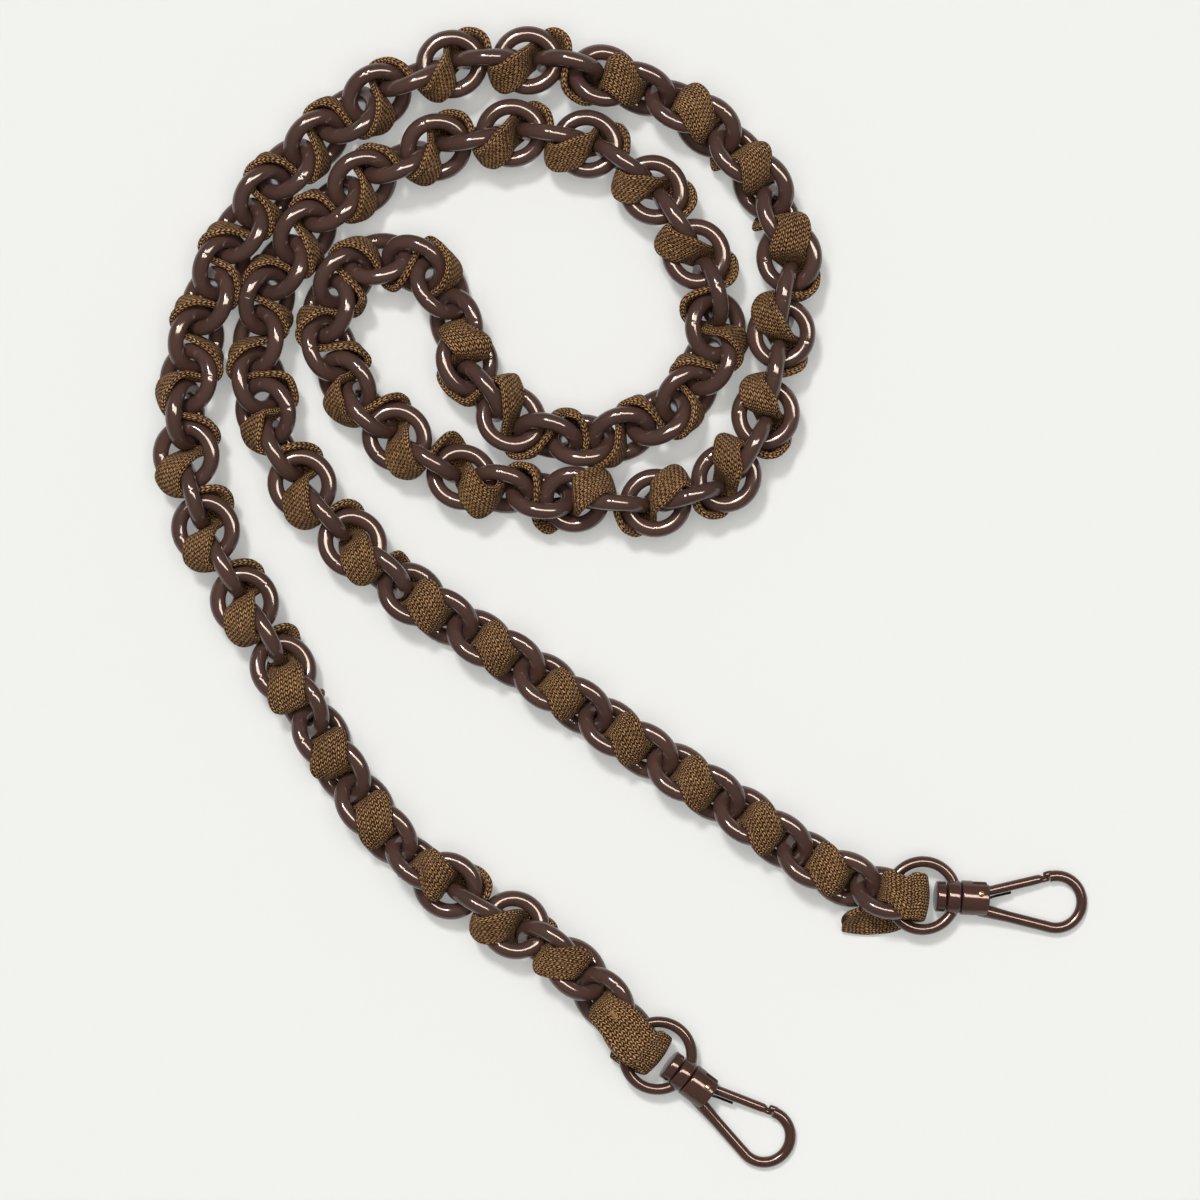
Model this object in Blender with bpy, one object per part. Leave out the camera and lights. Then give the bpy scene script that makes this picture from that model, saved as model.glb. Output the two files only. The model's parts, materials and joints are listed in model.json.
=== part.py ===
"""A detachable bag strap: a chain of thick resin links with a knitted ribbon woven through it,
and a swivel snap hook at each end. It lies on the floor as in the photograph, seen from above.

World: metres, +Z up, the floor at z = 0. The origin is on the floor below the middle of the whole
strap, the photograph's right is +X and its top is +Y. Everything below is worked out in millimetres
and written in metres.
"""

import math

import bmesh
import bpy
import numpy as np
from mathutils import Matrix, Vector
from mathutils.bvhtree import BVHTree

MM = 0.001

# Sizes, in millimetres.
# One chain link: a round oval of round wire.
LINK_LENGTH = 18.8
LINK_WIDTH = 17.9
LINK_WIRE = 4.2
# Links of one group bear on each other this deeply, and groups keep this much air.
CONTACT_BITE = 0.3
BEND_BITE = 2.0  # more of it in a bend, times one less the cosine of the bend
GROUP_GAP = 0.5
GROUP_PLAY = 0.45
# The knitted ribbon that runs through the links: it fills their holes but for this room at each
# edge, and each edge is gathered by so much there.
RIBBON_SIDE_ROOM = 0.05
RIBBON_GATHERED = 1.0
RIBBON_THICK = 0.8
RIBBON_GAP = 0.4
RIBBON_APART = 2.0
# The swivel ring, its boss and the post through it. "Out" is the distance from the ring's
# centre towards the tip of the hook.
RING_OUTSIDE = 20.6
RING_WIRE = 2.9
BOSS_RADIUS = 4.5
BOSS_LENGTH = 3.4
HEAD_RADIUS = 4.0
HEAD_THICK = 2.4
SHANK_RADIUS = 1.3
SHANK_IN_BARREL = 1.9
TURN_GAP = 0.35
PRESS_GAP = 0.2
RING_ROOM = 2.6
# The hook: barrel, fixed arm, round nose.
BARREL_RADIUS = 4.5
BARREL_LENGTH = 7.2
NOSE_OUT = 35.3
NOSE_RADIUS = 6.8
HOOK_WIRE = 2.9
ARM_SIDE = 2.9
ARM_SUNK = 2.0
LIP_LENGTH = 1.5
# The gate, its pin and its spring.
PIN_OUT_OF_BARREL = 4.8
PIN_SIDE = 1.3
PIN_RADIUS = 0.8
PIN_PROUD = 0.3
GATE_THICK = 2.4
EYE_RADIUS = 1.7
GATE_GAP = 0.3
SLOT_INNER_SIDE = 1.2
SPRING_WIRE = 0.7
SPRING_LEG = 6.0

# Counts and shares.
LINK_COUNT = 117
LINKS_PER_GROUP = 3
LINK_STEPS = 10
WIRE_SIDES = 5
RING_STEPS = 16
RING_SIDES = 6
ROUND_SIDES = 14
HOOK_SIDES = 8
PIN_SIDES = 10
NOSE_STEPS = 11
FINE = 33  # points on each link's end when the distance between two links is measured
END_DEG = 40
HOLE_PULL_SHARE = 1.97  # how straight the ribbon leaves a hole and crosses a meeting point
ARCH_PULL_SHARE = 2.1
SHOULDER_SHARE = 0.5
PUSH_SHARE = 0.6  # how much of a lacking clearance one round of pushing makes good
TURN_SHARE = 0.6
GATHER_SHARE = 0.985  # a ribbon still caught at its edge after a third of the rounds gathers
NARROWEST_SHARE = 0.6
RELAX_ROUNDS = 140
HEAD_EDGE_SHARE = 0.9  # of the head's radius and, below, of its thickness
HEAD_EDGE_DEPTH_SHARE = 0.15
LIP_OUT_SHARE = 0.85  # the lip and the tongue, as shares of the hook's wire radius
LIP_HALF_SHARE = 0.7
SEAM_SHARE = 0.1
TONGUE_HALF_SHARE = 0.6
TONGUE_OUT_SHARE = 0.9  # of the gate's radius
SPRING_TURN_DEG = 240
SPRING_START_DEG = -300
SPRING_STEPS = 8
NEAREST_SHARE = 0.7  # the next link is sought between these shares of one step along the route
FARTHEST_SHARE = 1.3
BENT_SHARE = 0.98  # how much of its straight length the chain keeps where it bends and twists

# The route, chosen by eye.
# (number of the meeting point, x, y) in pixels of the photograph. Meeting point k lies where
# link k passes its end to link k + 1. Number 0 is at the first ring and 117 at the second.
ROUTE_PX = (
    (0, 902, 898), (2, 828, 871), (4, 763, 827), (8, 628, 739), (12, 496, 648), (15, 396, 583),
    (17, 339, 529), (19, 291, 468), (21, 261, 397), (23, 260, 321), (25, 290, 252),
    (27, 341, 197), (30, 440, 146), (33, 554, 135), (35, 625, 163), (37, 676, 219),
    (39, 710, 287), (41, 712, 359), (43, 664, 415), (45, 593, 441), (47, 523, 427),
    (49, 472, 378), (51, 451, 304), (52, 428, 269), (53, 390, 254), (54, 351, 268),
    (55, 328, 301), (56, 325, 342), (57, 343, 379), (59, 402, 442), (61, 470, 481),
    (64, 588, 501), (66, 666, 503), (68, 737, 471), (69, 758, 439), (70, 769, 402),
    (72, 782, 327), (74, 790, 253), (76, 762, 183), (78, 711, 127), (80, 645, 90),
    (83, 532, 61), (85, 455, 63), (88, 345, 117), (91, 261, 199), (94, 206, 304),
    (97, 185, 419), (99, 193, 495), (102, 244, 600), (106, 321, 735), (110, 414, 861),
    (113, 514, 924), (115, 578, 970), (117, 628, 1031),
)
# How far the whole chain is twisted about its own line, by link: (link, degrees).
LINK_ROLL = (
    (1, -6), (4, 0), (14, 0), (18, 45), (19, 45), (22, 90), (25, 90), (27, 100),
    (29, 112), (31, 125), (33, 135), (38, 135), (41, 180), (45, 180), (47, 210), (48, 210),
    (50, 180), (57, 180), (59, 225), (60, 225), (65, 315), (72, 315), (76, 355),
    (79, 355), (83, 405), (85, 405), (88, 450), (95, 450), (99, 495), (102, 495),
    (106, 540), (109, 540), (115, 630), (117, 636),
)
# Where the ribbon lies over each meeting point: (meeting point, degrees). At 0 it lies on top of
# the even points and underneath the odd ones, and the angle turns both towards the right.
RIBBON_ROLL = (
    (0, 0), (14, 0), (16, 20), (18, 45), (20, 60), (22, 80), (24, 92), (25, 105),
    (27, 115), (29, 122), (31, 133), (34, 140), (37, 135), (38, 110), (39, 80),
    (41, 88), (42, 82), (44, 78), (45, 88), (46, 92), (47, 115), (49, 135), (50, 130),
    (53, 110), (54, 95), (55, 88), (57, 135), (59, 138), (61, 135), (62, 105),
    (63, 65), (64, 48), (66, 40), (68, 30), (70, 25), (72, 15), (74, -15), (76, -22),
    (80, -15), (81, -70), (82, -105), (83, -130), (85, -135), (87, -118), (89, -100),
    (92, -90), (95, -90), (96, -75), (98, -60), (100, -45), (102, -32), (104, -20),
    (106, -10), (108, 0), (117, 0),
)
LEAST_FROM_LINK_DEG = 27
SEEK_STEP_DEG = 3
GATE_MEETS_DEG = -108  # where on the nose's circle the gate meets it, and the arm
ARM_MEETS_DEG = 104
# The two hooks: the direction of each in the photograph, clockwise from its right.
HOOK_TURN_DEG = {"a": 3.0, "b": 37.5}

# Sizes that follow.
WIRE_R = LINK_WIRE / 2
LONG = LINK_LENGTH / 2 - WIRE_R  # half the link's centreline, along and across
ACROSS = LINK_WIDTH / 2 - WIRE_R
TAUT_PITCH = LINK_LENGTH - 2 * LINK_WIRE
MEAN_PITCH = (
    (LINKS_PER_GROUP - 1) * (TAUT_PITCH + CONTACT_BITE) + TAUT_PITCH - GROUP_GAP - GROUP_PLAY / 2
) / LINKS_PER_GROUP
RIBBON_WIDTH = LINK_WIDTH - 2 * LINK_WIRE - 2 * RIBBON_SIDE_ROOM
RIBBON_NARROWED = RIBBON_WIDTH - 2 * RIBBON_GATHERED
RING_R = RING_WIRE / 2
RING_LINE = RING_OUTSIDE / 2 - RING_R
BOSS_END = RING_LINE + RING_R / 2
BOSS_START = BOSS_END - BOSS_LENGTH
HEAD_END = BOSS_START - TURN_GAP
HEAD_START = HEAD_END - HEAD_THICK
BARREL_START = BOSS_END + TURN_GAP
BARREL_END = BARREL_START + BARREL_LENGTH
PIN_OUT = BARREL_START + PIN_OUT_OF_BARREL
HOOK_R = HOOK_WIRE / 2
GATE_R = GATE_THICK / 2
ORIGIN_PX = (621.3, 598.6)  # the middle of the strap in the photograph


# The route.
class Spline:
    """A natural cubic through the route's points, with the meeting point's number as parameter."""

    def __init__(self, knots):
        self.u = np.array([k[0] for k in knots], float)
        self.p = np.array([k[1:] for k in knots], float)
        h = np.diff(self.u)
        n = len(self.u)
        a = np.eye(n)
        b = np.zeros((n, 2))
        for i in range(1, n - 1):
            a[i, i - 1 : i + 2] = h[i - 1], 2 * (h[i - 1] + h[i]), h[i]
            b[i] = 6 * (
                (self.p[i + 1] - self.p[i]) / h[i] - (self.p[i] - self.p[i - 1]) / h[i - 1]
            )
        self.m = np.linalg.solve(a, b)

    def at(self, u):
        i = int(np.clip(np.searchsorted(self.u, u) - 1, 0, len(self.u) - 2))
        h = self.u[i + 1] - self.u[i]
        a, b = (self.u[i + 1] - u) / h, (u - self.u[i]) / h
        p = a * self.p[i] + b * self.p[i + 1]
        return p + ((a**3 - a) * self.m[i] + (b**3 - b) * self.m[i + 1]) * h * h / 6


def route_length(spline):
    points = np.array([spline.at(u) for u in np.linspace(0, LINK_COUNT, 10 * LINK_COUNT + 1)])
    return float(np.hypot(*np.diff(points, axis=0).T).sum())


ROUTE = Spline(ROUTE_PX)
PIXEL = BENT_SHARE * MEAN_PITCH * LINK_COUNT / route_length(ROUTE)  # millimetres per pixel
UP = np.array((0.0, 0.0, 1.0))


def in_table(table, k):
    return float(np.interp(k, [row[0] for row in table], [row[1] for row in table]))


def flat_mm(px, py):
    return np.array(((px - ORIGIN_PX[0]) * PIXEL, (ORIGIN_PX[1] - py) * PIXEL, 0.0))


def link_turn(j):
    """The angle of link j's plane about the chain's line, from the left side upwards."""
    start = 45 if j % 2 else -45
    return math.radians(start - in_table(LINK_ROLL, j))


def strand_height(j):
    """The chain's centre above the floor, so that the links' lowest points lie on it."""
    turn = link_turn(int(round(j)))
    return WIRE_R + ACROSS * max(abs(math.sin(turn)), abs(math.cos(turn)))


def smooth_height(k):
    """The same between links: the mean of the nearest two, so that a twist raises it gently."""
    low = max(1, min(LINK_COUNT, int(math.floor(k))))
    high = min(LINK_COUNT, low + 1)
    share = min(1.0, max(0.0, k - low))
    return (1 - share) * strand_height(low) + share * strand_height(high)


def frame_at(u, j):
    """Centre, heading and left side of the chain at route number u, at the height of link j."""
    back, front = flat_mm(*ROUTE.at(u - 0.5)), flat_mm(*ROUTE.at(u + 0.5))
    centre = (back + front) / 2
    centre[2] = smooth_height(j)
    ahead = (front - back) / np.linalg.norm(front - back)
    return centre, ahead, np.cross(UP, ahead)


class Link:
    def __init__(self, j, u):
        self.j, self.u = j, u
        self.centre, self.ahead, left = frame_at(u, j)
        turn = link_turn(j)
        self.across = math.cos(turn) * left + math.sin(turn) * UP
        self.normal = np.cross(self.ahead, self.across)

    def end(self, way):
        """Close points on the end of the centreline, ahead (1) or behind (-1)."""
        beta = np.radians(np.linspace(-END_DEG, END_DEG, FINE))[:, None]
        return self.centre + way * LONG * np.cos(beta) * self.ahead + (
            ACROSS * np.sin(beta) * self.across)

    def line(self, steps=LINK_STEPS, fine=1):
        """Points on the link's centreline: `steps` corners, each chord cut into `fine`."""
        beta = np.arange(steps + 1) * 2 * math.pi / steps
        corners = (
            self.centre
            + LONG * np.cos(beta)[:, None] * self.ahead
            + ACROSS * np.sin(beta)[:, None] * self.across
        )
        share = (np.arange(fine) / fine)[None, :, None]
        return (corners[:-1, None] * (1 - share) + corners[1:, None] * share).reshape(-1, 3)


def nearest(one, other):
    return float(
        np.sqrt(((one[:, None] - other[None]) ** 2).sum(-1)).min()
    )


def next_link(link, wanted, ahead=1, bite=0.0):
    """The neighbour whose end comes `wanted` close to this link's end, found by halving."""
    line = link.end(ahead)
    near, far = NEAREST_SHARE, FARTHEST_SHARE
    for _ in range(24):
        mid = (near + far) / 2
        other = Link(link.j + ahead, link.u + ahead * mid)
        bend = 1 - np.dot(link.ahead, other.ahead)
        if nearest(line, other.end(-ahead)) > wanted - bite * bend:
            near = mid
        else:
            far = mid
    return Link(link.j + ahead, link.u + ahead * (near + far) / 2)


def lay_chain():
    """Every link, in groups. The middle link of a group follows the route's own numbers, and the
    others bear on it. A group keeps its air from the one before, and is no looser than its play."""
    links = {}
    groups = []
    touch, air = LINK_WIRE - CONTACT_BITE, LINK_WIRE + GROUP_GAP
    last = None
    for start in range(1, LINK_COUNT + 1, LINKS_PER_GROUP):
        middle = start + LINKS_PER_GROUP // 2
        u = middle - 0.5
        if last is not None:
            first = next_link(last, air)
            farthest = next_link(first, touch, 1, BEND_BITE).u
            u = min(max(u, farthest - GROUP_PLAY / MEAN_PITCH), farthest)
        members = [Link(middle, u)]
        members.insert(0, next_link(members[0], touch, -1, BEND_BITE))
        members.append(next_link(members[1], touch, 1, BEND_BITE))
        for link in members:
            links[link.j] = link
        groups.append([link.j for link in members])
        last = members[-1]
    return links, groups


# Meshes.
def new_mesh_object(name, points, faces):
    mesh = bpy.data.meshes.new(name)
    mesh.from_pydata([tuple(map(float, p)) for p in points], [], faces)
    bm = bmesh.new()
    bm.from_mesh(mesh)
    bmesh.ops.recalc_face_normals(bm, faces=bm.faces)
    bm.to_mesh(mesh)
    bm.free()
    obj = bpy.data.objects.new(name, mesh)
    bpy.context.scene.collection.objects.link(obj)
    return obj


def joined(first, other, operation="UNION"):
    """The exact Boolean of two objects, kept as plain mesh in the first."""
    modifier = first.modifiers.new("join", "BOOLEAN")
    modifier.operation = operation
    modifier.solver = "EXACT"
    modifier.object = other
    graph = bpy.context.evaluated_depsgraph_get()
    mesh = bpy.data.meshes.new_from_object(first.evaluated_get(graph))
    first.modifiers.clear()
    old, first.data = first.data, mesh
    bpy.data.meshes.remove(old)
    bpy.data.objects.remove(other)
    return first


def ring_faces(rings, sides, closed):
    faces = []
    for i in range(rings if closed else rings - 1):
        a, b = i * sides, ((i + 1) % rings) * sides
        for k in range(sides):
            n = (k + 1) % sides
            faces.append((a + k, a + n, b + n, b + k))
    if not closed:
        faces.append(tuple(range(sides)))
        faces.append(tuple((rings - 1) * sides + k for k in range(sides)))
    return faces


def link_object(link, name, more=0.0):
    beta = np.arange(LINK_STEPS) * 2 * math.pi / LINK_STEPS
    psi = np.arange(WIRE_SIDES) * 2 * math.pi / WIRE_SIDES
    points = []
    for centre, b in zip(link.line(), beta):
        out = math.cos(b) / LONG * link.ahead + math.sin(b) / ACROSS * link.across
        out /= np.linalg.norm(out)
        for p in psi:
            # the first corner faces into the hole, so that two links bear corner on corner
            ray = -math.cos(p) * out + math.sin(p) * link.normal
            points.append(centre + (WIRE_R + more) * ray)
    return new_mesh_object(name, points, ring_faces(LINK_STEPS, WIRE_SIDES, True))


def tube_object(name, path, radius, sides, side=UP, closed=False):
    """A wire along a path. `side` is a direction that the path never takes."""
    path = [np.array(p, float) for p in path]
    n = len(path)
    points = []
    for i, p in enumerate(path):
        if closed:
            way = path[(i + 1) % n] - path[i - 1]
        else:
            way = path[min(i + 1, n - 1)] - path[max(i - 1, 0)]
        way /= np.linalg.norm(way)
        one = np.cross(side, way)
        one /= np.linalg.norm(one)
        two = np.cross(way, one)
        for k in range(sides):
            angle = 2 * math.pi * (k + 0.5) / sides
            points.append(p + radius * (math.cos(angle) * one + math.sin(angle) * two))
    return new_mesh_object(name, points, ring_faces(n, sides, closed))


def cylinder_object(name, start, end, radius, sides):
    way = np.array(end, float) - np.array(start, float)
    side = UP if abs(way[2]) < np.linalg.norm(way) / 2 else np.array((0.0, 1.0, 0.0))
    return tube_object(name, (start, end), radius, sides, side)


def box_object(name, low, high):
    (x0, y0, z0), (x1, y1, z1) = low, high
    points = [(x, y, z) for x in (x0, x1) for y in (y0, y1) for z in (z0, z1)]
    faces = [(0, 1, 3, 2), (4, 6, 7, 5), (0, 4, 5, 1), (2, 3, 7, 6), (0, 2, 6, 4), (1, 5, 7, 3)]
    return new_mesh_object(name, points, faces)


# The hooks.
def hook_frame(which, near):
    """From a hook's own millimetres to the world's: x out of the chain, y right of it seen from
    above, z up. `near` is the world point where the ring's wire passes through the last link.
    The hook droops until the end of its barrel rests on the floor."""
    turn = math.radians(HOOK_TURN_DEG[which])
    reach = RING_LINE + BARREL_END
    droop = math.asin((near[2] - BARREL_RADIUS) / reach)
    x = np.array((math.cos(turn), -math.sin(turn), 0.0)) * math.cos(droop)
    x[2] = -math.sin(droop)
    y = np.array((-math.sin(turn), -math.cos(turn), 0.0))
    z = np.cross(y, x)
    z = z if z[2] > 0 else -z
    centre = np.array(near) + RING_LINE * x
    rows = [[x[i], y[i], z[i], centre[i]] for i in range(3)]
    return Matrix(rows + [[0, 0, 0, 1]])


def arc(centre_out, radius, start, end, steps):
    angles = np.radians(np.linspace(start, end, steps + 1))
    return [(centre_out + radius * math.cos(a), radius * math.sin(a), 0.0) for a in angles]


def swivel_ring():
    line = [
        (RING_LINE * math.cos(a), RING_LINE * math.sin(a), 0.0)
        for a in (np.arange(RING_STEPS) + 0.5) * 2 * math.pi / RING_STEPS
    ]
    ring = tube_object("ring", line, RING_R, RING_SIDES, UP, True)
    boss = cylinder_object("boss", (BOSS_START, 0, 0), (BOSS_END, 0, 0), BOSS_RADIUS, ROUND_SIDES)
    joined(ring, boss)
    clear = BARREL_RADIUS + TURN_GAP
    trim = cylinder_object("trim", (BOSS_END, 0, 0), (BARREL_END, 0, 0), clear, ROUND_SIDES)
    joined(ring, trim, "DIFFERENCE")
    back = BOSS_START - HEAD_THICK - TURN_GAP
    room = HEAD_RADIUS + TURN_GAP
    joined(ring, cylinder_object("room", (back, 0, 0), (BOSS_START, 0, 0), room, ROUND_SIDES),
           "DIFFERENCE")
    bore = cylinder_object(
        "bore", (back, 0, 0), (BARREL_END, 0, 0), SHANK_RADIUS + TURN_GAP, PIN_SIDES)
    return joined(ring, bore, "DIFFERENCE")


def swivel_post():
    """A turned rivet: its head inside the ring and its shank through the boss into the barrel."""
    sections = (
        (HEAD_START, HEAD_RADIUS * HEAD_EDGE_SHARE),
        (HEAD_START + HEAD_THICK * HEAD_EDGE_DEPTH_SHARE, HEAD_RADIUS),
        (HEAD_END, HEAD_RADIUS), (HEAD_END, SHANK_RADIUS),
        (BARREL_START + SHANK_IN_BARREL, SHANK_RADIUS),
    )
    points = []
    for out, radius in sections:
        for k in range(PIN_SIDES):
            a = 2 * math.pi * (k + 0.5) / PIN_SIDES
            points.append((out, radius * math.cos(a), radius * math.sin(a)))
    return new_mesh_object("post", points, ring_faces(len(sections), PIN_SIDES, False))


def gate_line():
    """The gate's middle line at rest, from its pin to where the nose ends."""
    start = np.array((PIN_OUT, -PIN_SIDE, 0.0))
    end = np.array((NOSE_OUT + NOSE_RADIUS * math.cos(math.radians(GATE_MEETS_DEG)),
                    NOSE_RADIUS * math.sin(math.radians(GATE_MEETS_DEG)), 0.0))
    return start, end


def hook_body():
    start, end = gate_line()
    way = (end - start) / np.linalg.norm(end - start)
    barrel = cylinder_object(
        "barrel", (BARREL_START, 0, 0), (BARREL_END, 0, 0), BARREL_RADIUS, ROUND_SIDES)
    nose = arc(NOSE_OUT, NOSE_RADIUS, ARM_MEETS_DEG, GATE_MEETS_DEG, NOSE_STEPS)
    arm = tube_object(
        "arm", [(BARREL_END - ARM_SUNK, ARM_SIDE, 0.0)] + nose, HOOK_R, HOOK_SIDES)
    joined(barrel, arm)
    # the lip that the gate's end shuts against, on the outer half of the wire
    turn = math.atan2(way[1], way[0])
    lip = box_object(
        "lip", (-LIP_LENGTH, -HOOK_R * LIP_OUT_SHARE, -HOOK_R * LIP_HALF_SHARE),
        (HOOK_R, -HOOK_R * SEAM_SHARE, HOOK_R * LIP_HALF_SHARE))
    lip.data.transform(Matrix.Translation(Vector(end)) @ Matrix.Rotation(turn, 4, "Z"))
    joined(barrel, lip)
    room = EYE_RADIUS + GATE_GAP
    slot = box_object(
        "slot", (PIN_OUT - room, -2 * BARREL_RADIUS, -GATE_R - GATE_GAP),
        (2 * BARREL_END, SLOT_INNER_SIDE, GATE_R + 2 * GATE_GAP + SPRING_WIRE))
    # the slot ends at the barrel's mouth, before the arm and the nose
    mouth = box_object(
        "mouth", (BARREL_START, -2 * BARREL_RADIUS, -2 * BARREL_RADIUS),
        (BARREL_END + GATE_GAP, SLOT_INNER_SIDE, 2 * BARREL_RADIUS))
    joined(slot, mouth, "INTERSECT")
    joined(barrel, slot, "DIFFERENCE")
    tall = 2 * BARREL_RADIUS
    bore = cylinder_object(
        "bore", (PIN_OUT, -PIN_SIDE, -tall), (PIN_OUT, -PIN_SIDE, tall),
        PIN_RADIUS + PRESS_GAP, PIN_SIDES)
    joined(barrel, bore, "DIFFERENCE")
    socket = cylinder_object(
        "socket", (0, 0, 0), (BARREL_START + SHANK_IN_BARREL + PRESS_GAP, 0, 0),
        SHANK_RADIUS + PRESS_GAP, PIN_SIDES)
    return joined(barrel, socket, "DIFFERENCE")


def gate():
    start, end = gate_line()
    length = float(np.linalg.norm(end - start))
    turn = math.atan2(end[1] - start[1], end[0] - start[0])
    bar_end = length - LIP_LENGTH - GATE_GAP
    bar = tube_object("bar", [(0, 0, 0), (bar_end, 0, 0)], GATE_R / math.cos(math.pi / HOOK_SIDES),
                      HOOK_SIDES)
    eye = cylinder_object("eye", (0, 0, -GATE_R), (0, 0, GATE_R), EYE_RADIUS, PIN_SIDES)
    joined(bar, eye)
    tongue = box_object(
        "tongue", (bar_end - GATE_R, HOOK_R * SEAM_SHARE, -HOOK_R * TONGUE_HALF_SHARE),
        (length - GATE_GAP, GATE_R * TONGUE_OUT_SHARE, HOOK_R * TONGUE_HALF_SHARE))
    joined(bar, tongue)
    bore = cylinder_object("bore", (0, 0, -2 * GATE_R), (0, 0, 2 * GATE_R),
                           PIN_RADIUS + PRESS_GAP, PIN_SIDES)
    joined(bar, bore, "DIFFERENCE")
    bar.data.transform(Matrix.Translation(Vector(start)) @ Matrix.Rotation(turn, 4, "Z"))
    return bar


def gate_pin():
    tall = math.sqrt(BARREL_RADIUS**2 - PIN_SIDE**2) + PIN_PROUD
    return cylinder_object(
        "pin", (PIN_OUT, -PIN_SIDE, -tall), (PIN_OUT, -PIN_SIDE, tall), PIN_RADIUS, PIN_SIDES)


def gate_spring():
    """A turn of wire round the pin above the gate's eye, open where the wire runs off to be a leg
    along the gate's inside, so that it never meets itself."""
    start, end = gate_line()
    way = (end - start) / np.linalg.norm(end - start)
    inside = np.array((-way[1], way[0], 0.0))
    wire_r = SPRING_WIRE / 2
    loop_r = PIN_RADIUS + PRESS_GAP + wire_r
    height = GATE_R + GATE_GAP + wire_r
    path = []
    for k in range(SPRING_STEPS + 1):
        angle = math.radians(SPRING_START_DEG + SPRING_TURN_DEG * k / SPRING_STEPS)
        side = math.cos(angle) * way + math.sin(angle) * inside
        path.append(start + loop_r * side + height * UP)
    leg_side = GATE_R + GATE_GAP / 2 + wire_r
    bend = start + (EYE_RADIUS + GATE_GAP + wire_r) * way
    path.append(bend + leg_side * inside + height * UP)
    path.append(bend + (SPRING_WIRE * 2) * way + leg_side * inside)
    path.append(bend + SPRING_LEG * way + leg_side * inside)
    return path, wire_r


def spring_object():
    path, wire_r = gate_spring()
    return wire_object("spring", path, wire_r, 5)


def wire_object(name, path, radius, sides):
    """A wire whose path may climb: each cross-section is turned as little as it can be."""
    path = [np.array(p, float) for p in path]
    n = len(path)
    points = []
    one = None
    for i, p in enumerate(path):
        way = path[min(i + 1, n - 1)] - path[max(i - 1, 0)]
        way /= np.linalg.norm(way)
        one = np.cross(UP, way) if one is None else one - np.dot(one, way) * way
        one /= np.linalg.norm(one)
        two = np.cross(way, one)
        for k in range(sides):
            a = 2 * math.pi * k / sides
            points.append(p + radius * (math.cos(a) * one + math.sin(a) * two))
    return new_mesh_object(name, points, ring_faces(n, sides, False))


# The ribbon.
def unit(v):
    return v / np.linalg.norm(v)


def ribbon_sides(links):
    """The direction in which the ribbon lies over each meeting point, seen along the chain: the
    one nearest the table's that lies across the last link from the one before, so that the
    ribbon goes through every hole, and that keeps its distance from both links' planes."""
    sides = {}
    least = math.sin(math.radians(LEAST_FROM_LINK_DEG))
    for k in range(LINK_COUNT + 1):
        before, after = links[max(k, 1)], links[min(k + 1, LINK_COUNT)]
        _, ahead, left = frame_at((before.u + after.u) / 2, k + 0.5)
        wanted = (90 if k % 2 == 0 or k == LINK_COUNT else 270) - in_table(RIBBON_ROLL, k)
        crosses = 0 < k < LINK_COUNT
        for step in range(0, 181, SEEK_STEP_DEG):
            found = None
            for sign in (1, -1):
                angle = math.radians(wanted + sign * step)
                side = math.cos(angle) * left + math.sin(angle) * UP
                clear = all(abs(np.dot(side, link.normal)) >= least for link in (before, after))
                over = not crosses or np.dot(side, before.normal) * np.dot(
                    sides[k - 1][0], before.normal) < 0
                if clear and over:
                    found = (side, ahead)
                    break
            if found:
                break
        sides[k] = found
    return sides


def hermite(p0, d0, p1, d1, s):
    return (
        (2 * s**3 - 3 * s**2 + 1) * p0 + (s**3 - 2 * s**2 + s) * d0
        + (-2 * s**3 + 3 * s**2) * p1 + (s**3 - s**2) * d1
    )


def shoulder(link, way, top, ahead):
    """A point between the hole of a link, left along `way`, and the arch at `top`."""
    leaves = way * HOLE_PULL_SHARE * np.linalg.norm(top - link.centre)
    lands = ahead * ARCH_PULL_SHARE * abs(np.dot(top - link.centre, ahead))
    return hermite(link.centre, leaves, top, lands, SHOULDER_SHARE)


def arch(k, links, side, ahead):
    """Middle of the ribbon over meeting point k, with its direction and its width's direction."""
    before, after = links[max(k, 1)], links[min(k + 1, LINK_COUNT)]
    middle = (before.centre + after.centre) / 2
    if k == 0:
        middle = links[1].centre - links[1].ahead * TAUT_PITCH / 2
    if k == LINK_COUNT:
        middle = links[LINK_COUNT].centre + links[LINK_COUNT].ahead * TAUT_PITCH / 2
    half = ACROSS * math.sqrt(1 - (TAUT_PITCH / 2 / LONG) ** 2)
    lean = max(abs(np.dot(before.across, side)), abs(np.dot(after.across, side)))
    height = half * lean + WIRE_R + RIBBON_GAP + RIBBON_THICK / 2
    return middle + height * side, ahead, np.cross(side, ahead), side


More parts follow.
